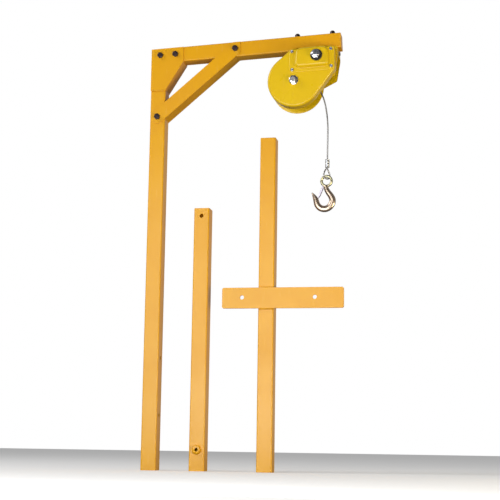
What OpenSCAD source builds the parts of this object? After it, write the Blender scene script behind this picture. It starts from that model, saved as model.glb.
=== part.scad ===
// Davit hoist kit: a mast with a raised boom, a geared brake winch under the boom,
// a wire rope with a hook, a loose extension tube and a loose cross piece.
// Z is up, X runs along the boom, and the front faces look towards -Y.
// The origin is the middle of the mast's foot.

/* [Square tube] */
// Outside width of every square tube
tube_size = 50.8; // [48:0.2:54]
// Wall thickness of the tubes
tube_wall = 2.6; // [2:0.1:4]
// Outside corner radius of the tubes
tube_corner = 4; // [3:0.5:6]

/* [Davit] */
// Height of the corner where the mast meets the top of the boom
davit_height = 1400; // [1300:5:1500]
// Length of the boom with its end cap
boom_length = 640; // [630:5:700]
// Angle that the boom rises towards its free end
boom_rise = 2.5; // [1:0.5:4]
// Thickness of the gusset and brace plates
plate_t = 3; // [2:0.5:4]
// Width of the diagonal brace
brace_w = 44; // [36:1:46]
// Height of the lower brace bolt
brace_foot_z = 1164; // [1150:1:1180]
// Distance of the upper brace bolt from the boom's mast end
brace_head_u = 287; // [270:1:300]
// Height of the gusset's lower edge
gusset_foot_z = 1255.5; // [1245:0.5:1260]
// Right edge of the gusset
gusset_right_x = 85; // [75:1:95]

/* [Winch] */
// Distance of the drum's axis from the boom's mast end
drum_u = 487; // [480:1:490]
// Depth of the drum's axis below the top of the boom
drum_drop = 165.5; // [163:0.5:168]
// Radius of the drum flanges
drum_flange_r = 86; // [80:1:86]
// Gear module
gear_module = 3; // [3:3]
// Teeth on the drum gear
drum_teeth = 54; // [54:54]
// Teeth on the drive pinion
pinion_teeth = 18; // [18:18]
// Direction of the drive shaft from the drum's axis
drive_angle = 43.7; // [43:0.1:44.5]

/* [Rope and hook] */
// Wire rope diameter
rope_d = 5; // [4:0.5:5]
// Outside radius of the hook's eye
eye_r = 20.7; // [20:0.1:22]
// Radius of the wire of the hook's eye
eye_wire_r = 4.4; // [4:0.1:5]

/* [Loose pieces] */
// Length of the extension tube
extension_length = 850; // [800:5:900]
// Height of the cross piece
cross_height = 1080; // [1000:5:1150]
// Height of the bar's lower edge on the cross piece
bar_z = 517.5; // [480:0.5:540]
// Height of the bar itself
bar_h = 67; // [60:1:75]
// Length of the bar
bar_length = 394; // [350:1:450]

/* [Hidden] */
$fn = 48;

half = tube_size / 2;
lap = 1;
tube_yellow = [0.89, 0.63, 0.05];
winch_yellow = [0.88, 0.72, 0.10];
chrome = [0.80, 0.81, 0.84];
black = [0.10, 0.07, 0.06];
steel = [0.55, 0.56, 0.58];
zinc = [0.80, 0.72, 0.45];
friction = [0.35, 0.27, 0.20];

// Distances from the centre plane to the outside of the tubes' side plates
seat_gap = 0.1;
cheek_in = half + seat_gap;
cheek_out = cheek_in + plate_t;

// Bolts of the steel frame: M12
frame_bolt_r = 6;
frame_hole_r = 6.5;
frame_head_r = 10.4;
frame_head_h = 7.5;
frame_nut_h = 10;
frame_washer_t = 2.5;
frame_washer_r = 12;
gusset_bolt_u = [30, 82];
gusset_bolt_w = -25;
brace_head_w = -24;

// Vertical bolts that hold the winch: M10
winch_bolt_u = [494, 611];
winch_bolt_r = 5;
winch_hole_r = 5.5;
winch_head_r = 9.2;
winch_head_h = 7;
winch_nut_h = 11;
winch_bolt_end = 3;
winch_washer_r = 10.5;
winch_washer_t = 2;

// Winch stations along Y, from the front to the back
cap_front = -88;
flange_front = -77;
cover_front = -75;
frame_front = -40;
frame_plate = 4;
frame_back = 30;
cover_t = 2.5;
gear_front = -57;
gear_back = -43;
drum_front = -33;
drum_back = 21;
drum_plate = 3;
drum_core_r = 28;
drum_bore_r = 12;
axle_r = 8;
running_gap = 0.05;

// Wound rope: full top layer on the front part, one layer less behind it
rope_step_y = -9;
rope_top_r = 64.5;
rope_low_r = 59;
rope_y = -6;

// Drum and drive axes in the boom's own directions
drum_w = -drum_drop;
centre_distance = gear_module * (drum_teeth + pinion_teeth) / 2;
drive_u = drum_u + centre_distance * cos(drive_angle);
drive_w = drum_w + centre_distance * sin(drive_angle);
drive_r = 8;
drive_bush_r = 11;
hub_hole_r = 27;

// Ratchet and pawl
ratchet_teeth = 12;
ratchet_tip_r = 30;
ratchet_root_r = 25.5;
ratchet_front = -68;
ratchet_back = -62;
ratchet_drop_angle = -46.5;
pawl_pin_u = 46;
pawl_pin_w = -2;
pawl_pin_r = 4;
pawl_hub_r = 6.5;

// Screw places on the brake cap: [along the boom, above the boom's top, has a post]
cap_screw_spots = [[484.5, -70, true], [612, -71, true], [483, -131, false], [611, -129, true]];
cap_screw_r = 3;

// Loose pieces
extension_x = 159;
extension_hole_z = 824.5;
extension_nut_z = 67.5;
cross_x = 377;
bar_x = 234.5;
bar_t = 8;
bar_hole_x = [299.5, 535.5];
bar_hole_z = 553;
kit_hole_r = 6.75;
weld_nut_r = 13.5;
weld_nut_h = 9;
weld_nut_bore_r = 5.25;

// Cross bolts through the mast's foot
mast_hole_z = [175.5, 360.5];

// Free rope, from where it leaves the drum down to the ferrule: [x, z]
rope_route = [[524.6, 1282.1], [531.3, 1267.7], [538, 1253.3], [544.6, 1239], [551, 1225],
    [555.6, 1214], [559.5, 1202], [563.4, 1186], [566.3, 1170], [568.6, 1153], [570.2, 1136],
    [571.1, 1118], [571.4, 1100], [571.3, 1080], [571, 1055], [570.7, 1030], [570.5, 1005]];
ferrule_x = 570.4;
ferrule_top = 1005;
ferrule_bottom = 978;
ferrule_r = 7.2;

// Loop in its own upright plane: [sideways, z], turned about the rope
loop_route = [[2.8, 977.8], [2.9, 975.4], [6.4, 969], [10.4, 963], [13, 957], [13.6, 951],
    [11.6, 945.4], [6.8, 942.1], [0, 941], [-6.8, 942.1], [-11.6, 945.4], [-13.6, 951],
    [-13, 957], [-10.4, 963], [-6.4, 969], [-2.9, 975.4], [-2.8, 977.8]];
loop_x = 568.6;
loop_turn = 52;

// Hook: eye centre, throat centre, and the spine of the bow from the neck to the tip
eye_x = 568;
eye_z = 933.5;
throat_x = 559.5;
throat_z = 873.5;
hook_spine = [[7, 42, 7.2, 6], [8.8, 33, 8.2, 6.2], [14.2, 23, 9, 7], [21.8, 12.5, 9.8, 7.5],
    [27.8, 0, 10.6, 8], [27, -12.5, 11, 8], [20, -24, 11, 8], [9, -31, 10.8, 8],
    [-3.5, -31.4, 10.6, 8], [-14, -26.5, 10.4, 7.6], [-21.5, -16.5, 10, 7.4],
    [-25.2, -4, 9.2, 6.8], [-28.7, 5.5, 7.6, 6], [-33, 13.5, 5.2, 5], [-38, 21, 2.2, 2.4]];
latch_pin_x = 556.5;
latch_pin_z = 914;
latch_tip_x = 542.8;
latch_tip_z = 877;
latch_pin_r = 1.5;
latch_half_y = 6;
latch_ear_t = 2;
lug_half_y = 2.6;

// ---- Helpers ----

// Places children in the boom's directions: X along it, Z up from its top face
module on_boom() {
    translate([-half, 0, davit_height]) rotate([0, -boom_rise, 0]) children();
}

// Height of the boom's top edge above the mast's foot at a place along X
function boom_top_z(x) = davit_height + (x + half) * tan(boom_rise);

// Height of the boom's lower face at a place along X
function boom_under_z(x) = boom_top_z(x) - tube_size / cos(boom_rise);

// A flat shape drawn in X and Z, standing between two places along Y
module upright(y_from, y_to) {
    translate([0, y_to, 0]) rotate([90, 0, 0]) linear_extrude(y_to - y_from) children();
}

// A round bar along Y between two places
module bar_y(x, z, r, y_from, y_to) {
    translate([x, y_to, z]) rotate([90, 0, 0]) cylinder(r = r, h = y_to - y_from);
}

// A ring along Y between two places
module ring_y(x, z, r_out, r_in, y_from, y_to) {
    difference() {
        bar_y(x, z, r_out, y_from, y_to);
        bar_y(x, z, r_in, y_from - lap, y_to + lap);
    }
}

// A hexagonal prism along Y between two places
module hex_y(x, z, r, y_from, y_to) {
    translate([x, y_to, z]) rotate([90, 0, 0]) cylinder(r = r, h = y_to - y_from, $fn = 6);
}

// A square outline with round corners
module round_square(size, corner) {
    inner = size - 2 * corner;
    square([inner, size], center = true);
    square([size, inner], center = true);
    for (sx = [-1, 1], sy = [-1, 1]) {
        translate([sx * inner / 2, sy * inner / 2]) circle(corner);
    }
}

// A length of square tube standing on the XY plane
module square_tube(length) {
    difference() {
        linear_extrude(length) round_square(tube_size, tube_corner);
        translate([0, 0, -lap]) linear_extrude(length + 2 * lap) {
            round_square(tube_size - 2 * tube_wall, tube_corner - tube_wall + 0.4);
        }
    }
}

// Direction of the outside normal of the belt that runs from circle a to circle b
function belt_angle(a, b) =
    atan2(b[1] - a[1], b[0] - a[0]) - acos((a[2] - b[2]) / norm([b[0] - a[0], b[1] - a[1]]));

// Point of a circle in a direction
function on_circle(c, angle) = [c[0] + c[2] * cos(angle), c[1] + c[2] * sin(angle)];

// Outline of a belt round circles [x, y, r] given anticlockwise, all radii less an inset
module belt(circles, inset = 0) {
    rings = [for (c = circles) [c[0], c[1], c[2] - inset]];
    count = len(rings);
    polygon([for (i = [0:count - 1]) let (a = rings[i], b = rings[(i + 1) % count],
        t = belt_angle(a, b)) each [on_circle(a, t), on_circle(b, t)]]);
    for (c = rings) {
        translate([c[0], c[1]]) circle(c[2]);
    }
}

// Involute angle in degrees at a radius, for a base radius
function involute_at(r, base) = let (t = sqrt(max(0, r * r / (base * base) - 1)))
    t * 180 / PI - atan(t);

// Outline of a spur gear whose first tooth points along +X
function gear_points(teeth) = let (
    pitch = gear_module * teeth / 2,
    base = pitch * cos(20),
    root = pitch - 1.25 * gear_module,
    tip = pitch + 0.95 * gear_module,
    slack = 0.2 / pitch * 180 / PI,
    middle = 90 / teeth - slack + involute_at(pitch, base),
    radii = [root, max(base, root + 0.3), pitch, tip])
    [for (i = [0:teeth - 1]) each concat(
        [for (r = radii) let (a = 360 / teeth * i - middle + involute_at(r, base))
            [r * cos(a), r * sin(a)]],
        [for (k = [3:-1:0]) let (r = radii[k], a = 360 / teeth * i + middle - involute_at(r, base))
            [r * cos(a), r * sin(a)]])];

// Direction of a planar route at point i
function route_dir(route, i) = let (
    a = route[max(0, i - 1)],
    b = route[min(len(route) - 1, i + 1)],
    d = [b[0] - a[0], b[1] - a[1]])
    d / norm(d);

// A bar swept along points [x, z, half height in the plane, half width across it]
module swept(route, sides) {
    last = len(route) - 1;
    points = [for (i = [0:last]) let (d = route_dir(route, i), p = route[i])
        for (j = [0:sides - 1]) let (t = 360 / sides * j)
            [p[0] + d[1] * p[2] * cos(t), p[3] * sin(t), p[1] - d[0] * p[2] * cos(t)]];
    walls = [for (i = [0:last - 1], j = [0:sides - 1]) let (k = (j + 1) % sides)
        [i * sides + j, (i + 1) * sides + j, (i + 1) * sides + k, i * sides + k]];
    start_cap = [[for (j = [0:sides - 1]) j]];
    end_cap = [[for (j = [sides - 1:-1:0]) last * sides + j]];
    polyhedron(concat(points), concat(walls, start_cap, end_cap));
}

// ---- Davit frame ----

module mast_tube() {
    color(tube_yellow) difference() {
        square_tube(davit_height - tube_size + lap * 3);
        on_boom() translate([-20, -tube_size, -tube_size]) {
            cube([4 * tube_size, 2 * tube_size, 2 * tube_size]);
        }
        bar_y(0, brace_foot_z, frame_hole_r, -tube_size, tube_size);
        for (z = mast_hole_z) {
            translate([-tube_size, 0, z]) rotate([0, 90, 0]) {
                cylinder(r = kit_hole_r, h = 2 * tube_size);
            }
        }
    }
}

module boom_tube() {
    color(tube_yellow) on_boom() difference() {
        translate([0, 0, -half]) rotate([0, 90, 0]) square_tube(boom_length - plate_t);
        for (u = gusset_bolt_u) {
            bar_y(u, gusset_bolt_w, frame_hole_r, -tube_size, tube_size);
        }
        bar_y(brace_head_u, brace_head_w, frame_hole_r, -tube_size, tube_size);
        for (u = winch_bolt_u) {
            translate([u, 0, -tube_size - lap]) {
                cylinder(r = winch_hole_r, h = tube_size + 2 * lap);
            }
        }
    }
}

module boom_end_cap() {
    color(tube_yellow) on_boom() translate([boom_length - plate_t, 0, -half]) {
        rotate([0, 90, 0]) linear_extrude(plate_t) round_square(tube_size, tube_corner);
    }
}

module gusset_outline() {
    edge = 1.5;
    polygon([[-half, gusset_foot_z], [half, gusset_foot_z],
        [gusset_right_x, boom_under_z(gusset_right_x) - 2],
        [gusset_right_x, boom_top_z(gusset_right_x) - edge],
        [-half, davit_height - edge]]);
}

module gusset_web_outline() {
    side = half + seat_gap;
    knee_z = boom_under_z(gusset_right_x) - 2;
    polygon([[side, gusset_foot_z], [gusset_right_x, knee_z],
        [gusset_right_x - 0.8 * plate_t, knee_z + 0.5 * plate_t],
        [side, gusset_foot_z + 2 * plate_t]]);
}

module corner_gusset() {
    color(tube_yellow) difference() {
        union() {
            upright(-cheek_out, -cheek_in) gusset_outline();
            upright(cheek_in, cheek_out) gusset_outline();
            upright(-cheek_out, cheek_out) gusset_web_outline();
        }
        on_boom() for (u = gusset_bolt_u) {
            bar_y(u, gusset_bolt_w, frame_hole_r, -tube_size, tube_size);
        }
    }
}

// Ends of the brace's centre line
brace_a = [0, brace_foot_z];
brace_b = [-half + brace_head_u * cos(boom_rise) - brace_head_w * sin(boom_rise),
    davit_height + brace_head_u * sin(boom_rise) + brace_head_w * cos(boom_rise)];
brace_dir = atan2(brace_b[1] - brace_a[1], brace_b[0] - brace_a[0]);
brace_run = norm(brace_b - brace_a);

// The brace's long straight outline between two offsets from its centre line
module brace_strip(low, high, start, stop) {
    translate(brace_a) rotate(brace_dir) translate([start, low]) {
        square([stop - start, high - low]);
    }
}

module brace_cheek_outline() {
    right_x = brace_b[0] + 17;
    edge = 1.5;
    intersection() {
        union() {
            brace_strip(-brace_w / 2, brace_w / 2, 0, brace_run + brace_w);
            translate(brace_a) circle(brace_w / 2);
        }
        polygon([[-tube_size, davit_height / 2], [right_x, davit_height / 2],
            [right_x, boom_top_z(right_x) - edge], [-tube_size, boom_top_z(-tube_size) - edge]]);
    }
}

module brace_web_outline() {
    side = half + seat_gap;
    far_x = gusset_right_x + tube_size * 4;
    intersection() {
        brace_strip(-brace_w / 2, -brace_w / 2 + plate_t, 0, brace_run);
        polygon([[side, davit_height / 2], [far_x, davit_height / 2],
            [far_x, boom_under_z(far_x) - seat_gap], [side, boom_under_z(side) - seat_gap]]);
    }
}

module diagonal_brace() {
    color(tube_yellow) difference() {
        union() {
            upright(-cheek_out, -cheek_in) brace_cheek_outline();
            upright(cheek_in, cheek_out) brace_cheek_outline();
            upright(-cheek_out, cheek_out) brace_web_outline();
        }
        bar_y(brace_a[0], brace_a[1], frame_hole_r, -tube_size, tube_size);
        bar_y(brace_b[0], brace_b[1], frame_hole_r, -tube_size, tube_size);
    }
}

// Runs children at each M12 bolt's axis through the frame
module at_frame_bolts() {
    on_boom() {
        for (u = gusset_bolt_u) {
            translate([u, 0, gusset_bolt_w]) children();
        }
    }
    translate([brace_a[0], 0, brace_a[1]]) children();
    on_boom() translate([brace_head_u, 0, brace_head_w]) children();
}

module frame_bolts() {
    thread_end = cheek_out + frame_washer_t + frame_nut_h + 4;
    color(black) at_frame_bolts() {
        hex_y(0, 0, frame_head_r, -cheek_out - frame_head_h, -cheek_out);
        bar_y(0, 0, frame_bolt_r, -cheek_out, thread_end);
    }
}

module frame_washers() {
    color(black) at_frame_bolts() {
        ring_y(0, 0, frame_washer_r, frame_hole_r, cheek_out, cheek_out + frame_washer_t);
    }
}

module frame_nuts() {
    seat = cheek_out + frame_washer_t;
    color(black) at_frame_bolts() difference() {
        hex_y(0, 0, frame_head_r, seat, seat + frame_nut_h);
        bar_y(0, 0, frame_bolt_r, seat - lap, seat + frame_nut_h + lap);
    }
}

// ---- Winch mounting ----

// Runs children at each vertical bolt, with Z = 0 at the boom's top face
module at_winch_bolts() {
    on_boom() for (u = winch_bolt_u) {
        translate([u, 0, 0]) children();
    }
}

module winch_bolts() {
    seat = tube_size + frame_plate;
    reach = seat + winch_washer_t + winch_nut_h + winch_bolt_end;
    color(black) at_winch_bolts() {
        translate([0, 0, -seat - winch_head_h]) cylinder(r = winch_head_r, h = winch_head_h, $fn = 6);
        translate([0, 0, -seat]) cylinder(r = winch_bolt_r, h = reach);
    }
}

module winch_washers() {
    color(black) at_winch_bolts() difference() {
        cylinder(r = winch_washer_r, h = winch_washer_t);
        translate([0, 0, -lap]) cylinder(r = winch_hole_r, h = winch_washer_t + 2 * lap);
    }
}

module winch_nuts() {
    color(black) at_winch_bolts() translate([0, 0, winch_washer_t]) difference() {
        cylinder(r = winch_head_r, h = winch_nut_h, $fn = 6);
        translate([0, 0, -lap]) cylinder(r = winch_bolt_r, h = winch_nut_h + 2 * lap);
    }
}

// Side plate of the winch frame: drum end, lower right corner, upper right, upper left
side_circles = [[drum_u, drum_w, 40], [608, -143, 10], [625, -84, 5],
    [625, -tube_size - 5, 5], [479, -tube_size - 5, 5]];

module winch_frame() {
    front_in = frame_front + frame_plate;
    back_in = frame_back - frame_plate;
    top_w = -tube_size - frame_plate;
    color(winch_yellow) on_boom() difference() {
        union() {
            upright(frame_front, front_in) belt(side_circles);
            upright(back_in, frame_back) belt(side_circles);
            translate([479, frame_front, top_w]) {
                cube([146, frame_back - frame_front, frame_plate]);
            }
            translate([626, frame_front, top_w - 24]) {
                cube([frame_plate, frame_back - frame_front, 24]);
            }
        }
        bar_y(drum_u, drum_w, 24, frame_front - lap, front_in + lap);
        bar_y(drum_u, drum_w, axle_r, back_in - lap, frame_back + lap);
        bar_y(drive_u, drive_w, drive_bush_r, frame_front - lap, frame_back + lap);
        bar_y(drive_u + pawl_pin_u, drive_w + pawl_pin_w, pawl_pin_r,
            frame_front - lap, front_in + lap);
        for (u = winch_bolt_u) {
            translate([u, 0, top_w - lap]) cylinder(r = winch_hole_r, h = frame_plate + 2 * lap);
        }
        translate([626 - lap, -8, -68]) rotate([0, 90, 0]) {
            cylinder(r = 4, h = frame_plate + 2 * lap);
        }
    }
}

module frame_end_screw() {
    color(steel) on_boom() translate([626 - 6, -8, -68]) rotate([0, 90, 0]) {
        cylinder(r = 4, h = 10);
        translate([0, 0, 10]) cylinder(r = 6.6, h = 5, $fn = 6);
    }
}

// ---- Gear case ----

// Outline circles of the gear cover: drum disc, lower right, upper right, upper left
cover_circles = [[drum_u, drum_w, 87.5], [606, -131, 16], [612, -69, 11], [486, -68, 10]];
// Outline circles of the brake cap's flange and of its raised case
flange_circles = [[483, -131, 9.5], [611, -129, 11], [612, -71, 10.5], [484.5, -70, 9.5]];
case_circles = [[506, -113, 13], [592, -113, 13], [583, -83, 22], [517, -83, 22]];

module gear_cover() {
    color(winch_yellow) on_boom() difference() {
        upright(cover_front, frame_front) belt(cover_circles);
        upright(cover_front + cover_t, frame_front + lap) belt(cover_circles, cover_t);
        bar_y(drum_u, drum_w, axle_r, cover_front - lap, cover_front + cover_t + lap);
        bar_y(drive_u, drive_w, hub_hole_r, cover_front - lap, cover_front + cover_t + lap);
        for (s = cap_screw_spots) {
            bar_y(s[0], s[1], cap_screw_r, cover_front - lap, cover_front + cover_t + lap);
        }
    }
}

module cover_posts() {
    color(steel) on_boom() for (s = cap_screw_spots) {
        if (s[2]) {
            difference() {
                bar_y(s[0], s[1], 6, cover_front + cover_t, frame_front);
                bar_y(s[0], s[1], cap_screw_r, cover_front, cover_front + 16);
            }
        }
    }
}

module brake_cap() {
    color(winch_yellow) on_boom() difference() {
        union() {
            upright(flange_front, cover_front) belt(flange_circles);
            upright(cap_front, cover_front) belt(case_circles);
        }
        upright(cap_front + cover_t, cover_front + lap) belt(case_circles, cover_t);
        bar_y(drive_u, drive_w, 19.4, cap_front - lap, cap_front + cover_t + lap);
        for (s = cap_screw_spots) {
            bar_y(s[0], s[1], cap_screw_r, flange_front - lap, cover_front + lap);
        }
    }
}

module cap_screws() {
    color(chrome) on_boom() for (s = cap_screw_spots) {
        bar_y(s[0], s[1], cap_screw_r, flange_front, flange_front + 12);
        difference() {
            bar_y(s[0], s[1], 5.4, flange_front - 4, flange_front);
            hex_y(s[0], s[1], 2.8, flange_front - 4 - lap, flange_front - 2);
        }
    }
}

// ---- Drum ----

module drum_axle() {
    color(steel) on_boom() bar_y(drum_u, drum_w, axle_r, cover_front - 17, frame_back + 16);
}

module axle_washers() {
    color(chrome) on_boom() {
        ring_y(drum_u, drum_w, 15, axle_r, cover_front - 2.5, cover_front);
        ring_y(drum_u, drum_w, 15, axle_r, frame_back, frame_back + 2.5);
    }
}

module axle_nuts() {
    color(chrome) on_boom() difference() {
        union() {
            hex_y(drum_u, drum_w, 13.6, cover_front - 14, cover_front - 2.5);
            hex_y(drum_u, drum_w, 13.6, frame_back + 2.5, frame_back + 14);
        }
        bar_y(drum_u, drum_w, axle_r, cover_front - 20, frame_back + 20);
    }
}

module drum() {
    color(winch_yellow) on_boom() difference() {
        union() {
            bar_y(drum_u, drum_w, drum_flange_r, drum_front, drum_front + drum_plate);
            bar_y(drum_u, drum_w, drum_core_r, drum_front, drum_back);
            bar_y(drum_u, drum_w, drum_flange_r, drum_back - drum_plate, drum_back);
        }
        bar_y(drum_u, drum_w, drum_bore_r, drum_front - lap, drum_back + lap);
    }
}

module drum_gear() {
    color(steel) on_boom() difference() {
        union() {
            upright(gear_front, gear_back) translate([drum_u, drum_w]) rotate(drive_angle) {
                polygon(gear_points(drum_teeth));
            }
            bar_y(drum_u, drum_w, 20, gear_back, drum_front);
        }
        bar_y(drum_u, drum_w, drum_bore_r, gear_front - lap, drum_front + lap);
    }
}

module drum_bushes() {
    color([0.72, 0.53, 0.28]) on_boom() {
        inner = axle_r + running_gap;
        ring_y(drum_u, drum_w, drum_bore_r, inner, gear_front, drum_front);
        ring_y(drum_u, drum_w, drum_bore_r, inner, drum_back - 24, drum_back);
    }
}

module rope_wound() {
    side = 0.1;
    y_low = drum_front + drum_plate + side;
    y_high = drum_back - drum_plate - side;
    color(steel) on_boom() translate([drum_u, 0, drum_w]) rotate([-90, 0, 0]) rotate_extrude() {
        polygon([[drum_core_r, y_low], [rope_top_r, y_low], [rope_top_r, rope_step_y],
            [rope_low_r, rope_step_y], [rope_low_r, y_high], [drum_core_r, y_high]]);
    }
}

// ---- Drive shaft and brake ----

module drive_bushes() {
    color([0.72, 0.53, 0.28]) on_boom() {
        inner = drive_r + running_gap;
        ring_y(drive_u, drive_w, drive_bush_r, inner, frame_front, frame_front + frame_plate);
        ring_y(drive_u, drive_w, drive_bush_r, inner, frame_back - frame_plate, frame_back);
    }
}

module drive_seal_ring() {
    color(black) on_boom() {
        ring_y(drive_u, drive_w, 19.4, 14, cap_front - 3, cap_front + cover_t);
    }
}

module drive_shaft() {
    color(steel) on_boom() bar_y(drive_u, drive_w, drive_r, cap_front - 4, frame_back + 5);
}

module drive_pinion() {
    color(steel) on_boom() difference() {
        upright(-59, -42) translate([drive_u, drive_w]) {
            rotate(180 + drive_angle + 180 / pinion_teeth) polygon(gear_points(pinion_teeth));
        }
        bar_y(drive_u, drive_w, drive_r, -60, -41);
    }
}

module friction_discs() {
    color(friction) on_boom() {
        ring_y(drive_u, drive_w, 25, drive_r, ratchet_back, ratchet_back + 3);
        ring_y(drive_u, drive_w, 25, drive_r, ratchet_front - 3, ratchet_front);
    }
}

// Ratchet outline: each tooth rises slowly and drops steeply, anticlockwise
function ratchet_points() = [for (i = [0:ratchet_teeth - 1])
    let (a = ratchet_drop_angle + 360 / ratchet_teeth * i)
    each [[ratchet_tip_r * cos(a), ratchet_tip_r * sin(a)],
        [ratchet_root_r * cos(a), ratchet_root_r * sin(a)]]];

module ratchet_wheel() {
    color(steel) on_boom() difference() {
        upright(ratchet_front, ratchet_back) translate([drive_u, drive_w]) {
            polygon(ratchet_points());
        }
        bar_y(drive_u, drive_w, drive_r, ratchet_front - lap, ratchet_back + lap);
    }
}

module brake_hub() {
    color(steel) on_boom() {
        ring_y(drive_u, drive_w, 24, drive_r, -84, ratchet_front - 3);
    }
}

module drive_nut() {
    front = cap_front - 4;
    color(chrome) on_boom() difference() {
        union() {
            hex_y(drive_u, drive_w, 15.6, front - 13, front);
            bar_y(drive_u, drive_w, 11.5, front - 16, front);
            bar_y(drive_u, drive_w, 12.5, front, front + 2.5);
        }
        bar_y(drive_u, drive_w, drive_r, front, front + 3);
    }
}

module drive_circlip() {
    color(steel) on_boom() {
        ring_y(drive_u, drive_w, 11, drive_r, frame_back + 1, frame_back + 2.5);
    }
}

// Pawl: a wedge nose in the ratchet's gap and a round hub on its pin
module pawl_outline() {
    nose_in = 26.3;
    nose_out = 31.5;
    nose_angle = ratchet_drop_angle + 2.4;
    pin = [pawl_pin_u, pawl_pin_w];
    tip = on_circle([0, 0, nose_in], nose_angle);
    back = on_circle([0, 0, nose_out], nose_angle);
    along = atan2(pin[1] - tip[1], pin[0] - tip[0]);
    hub = [pin[0], pin[1], pawl_hub_r];
    polygon([tip, back, on_circle(hub, along - 90), on_circle(hub, along + 90 + 6)]);
    translate(pin) circle(pawl_hub_r);
}

module pawl() {
    color(steel) on_boom() difference() {
        upright(ratchet_front + 0.5, ratchet_back - 0.5) {
            translate([drive_u, drive_w]) pawl_outline();
        }
        bar_y(drive_u + pawl_pin_u, drive_w + pawl_pin_w, pawl_pin_r + running_gap,
            ratchet_front - lap, ratchet_back + lap);
    }
}

module pawl_pin() {
    color(steel) on_boom() {
        bar_y(drive_u + pawl_pin_u, drive_w + pawl_pin_w, pawl_pin_r,
            -71, frame_front + frame_plate);
    }
}

module pawl_spring() {
    color(steel) on_boom() {
        ring_y(drive_u + pawl_pin_u, drive_w + pawl_pin_w, 6, pawl_pin_r, -61, -56);
    }
}

// ---- Rope and hook ----

module rope_free() {
    radius = rope_d / 2;
    color(steel) translate([0, rope_y, 0]) {
        swept([for (p = rope_route) [p[0], p[1], radius, radius]], 8);
    }
}

module rope_ferrule() {
    color(steel) translate([ferrule_x, rope_y, ferrule_bottom]) {
        cylinder(r = ferrule_r, h = ferrule_top - ferrule_bottom);
    }
}

module rope_loop() {
    radius = rope_d / 2;
    color(steel) translate([loop_x, rope_y, 0]) rotate([0, 0, loop_turn]) {
        swept([for (p = loop_route) [p[0], p[1], radius, radius]], 8);
    }
}

module hook() {
    color(zinc) translate([0, rope_y, 0]) {
        translate([eye_x, 0, eye_z]) rotate([90, 0, 0]) rotate_extrude() {
            translate([eye_r - eye_wire_r, 0]) circle(eye_wire_r, $fn = 24);
        }
        translate([throat_x, 0, throat_z]) swept(hook_spine, 12);
        difference() {
            union() {
                bar_y(latch_pin_x, latch_pin_z, 4, -lug_half_y, lug_half_y);
                translate([latch_pin_x, -lug_half_y, latch_pin_z - 4]) {
                    cube([9, 2 * lug_half_y, 8]);
                }
            }
            bar_y(latch_pin_x, latch_pin_z, latch_pin_r, -latch_half_y, latch_half_y);
        }
    }
}

module latch_pin() {
    reach = latch_half_y + 0.8;
    color(steel) translate([0, rope_y, 0]) {
        bar_y(latch_pin_x, latch_pin_z, latch_pin_r, -reach, reach);
    }
}

module latch_spring() {
    color(steel) translate([0, rope_y, 0]) {
        ring_y(latch_pin_x, latch_pin_z, 2.6, latch_pin_r, lug_half_y + 0.1, lug_half_y + 1.1);
    }
}

module hook_latch() {
    dir = atan2(latch_tip_z - latch_pin_z, latch_tip_x - latch_pin_x);
    reach = norm([latch_tip_x - latch_pin_x, latch_tip_z - latch_pin_z]);
    ear = latch_half_y - latch_ear_t;
    color(steel) translate([0, rope_y, 0]) difference() {
        union() {
            for (side = [-1, 1]) {
                translate([0, side * (ear + latch_ear_t / 2), 0]) {
                    bar_y(latch_pin_x, latch_pin_z, 3.4, -latch_ear_t / 2, latch_ear_t / 2);
                    upright(-latch_ear_t / 2, latch_ear_t / 2) {
                        translate([latch_pin_x, latch_pin_z]) rotate(dir) {
                            polygon([[0, -3], [reach - 1, -3], [reach - 1, -1], [reach - 9, 1.6],
                                [10, 2.6], [0, 2.6]]);
                        }
                    }
                }
            }
            upright(-latch_half_y, latch_half_y) {
                translate([latch_pin_x, latch_pin_z]) rotate(dir) {
                    translate([8, -3]) square([reach - 8, 1.8]);
                }
            }
        }
        bar_y(latch_pin_x, latch_pin_z, latch_pin_r + running_gap, -tube_size, tube_size);
    }
}

// ---- Loose pieces ----

module extension_tube() {
    color(tube_yellow) difference() {
        translate([extension_x, 0, 0]) square_tube(extension_length);
        bar_y(extension_x, extension_hole_z, kit_hole_r, -tube_size, tube_size);
        bar_y(extension_x, extension_nut_z, weld_nut_bore_r, -tube_size, 0);
    }
}

module weld_nut() {
    color(tube_yellow) {
        ring_y(extension_x, extension_nut_z, weld_nut_r, weld_nut_bore_r,
            -half - weld_nut_h, -half);
    }
}

module cross_tube() {
    color(tube_yellow) translate([cross_x, 0, 0]) square_tube(cross_height);
}

module cross_bar() {
    corner = 6;
    color(tube_yellow) difference() {
        upright(-half - bar_t, -half) {
            belt([[bar_x + corner, bar_z + corner, corner],
                [bar_x + bar_length - corner, bar_z + corner, corner],
                [bar_x + bar_length - corner, bar_z + bar_h - corner, corner],
                [bar_x + corner, bar_z + bar_h - corner, corner]]);
        }
        for (x = bar_hole_x) {
            bar_y(x, bar_hole_z, kit_hole_r, -tube_size, 0);
        }
    }
}

module cross_welds() {
    bead_r = 4;
    length = tube_size - 2 * tube_corner;
    color(tube_yellow) for (z = [bar_z, bar_z + bar_h]) {
        intersection() {
            translate([cross_x - length / 2, -half, z]) rotate([0, 90, 0]) {
                cylinder(r = bead_r, h = length);
            }
            translate([cross_x - length, -half - bead_r, z == bar_z ? z - bead_r : z]) {
                cube([2 * length, bead_r, bead_r]);
            }
        }
    }
}

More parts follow.
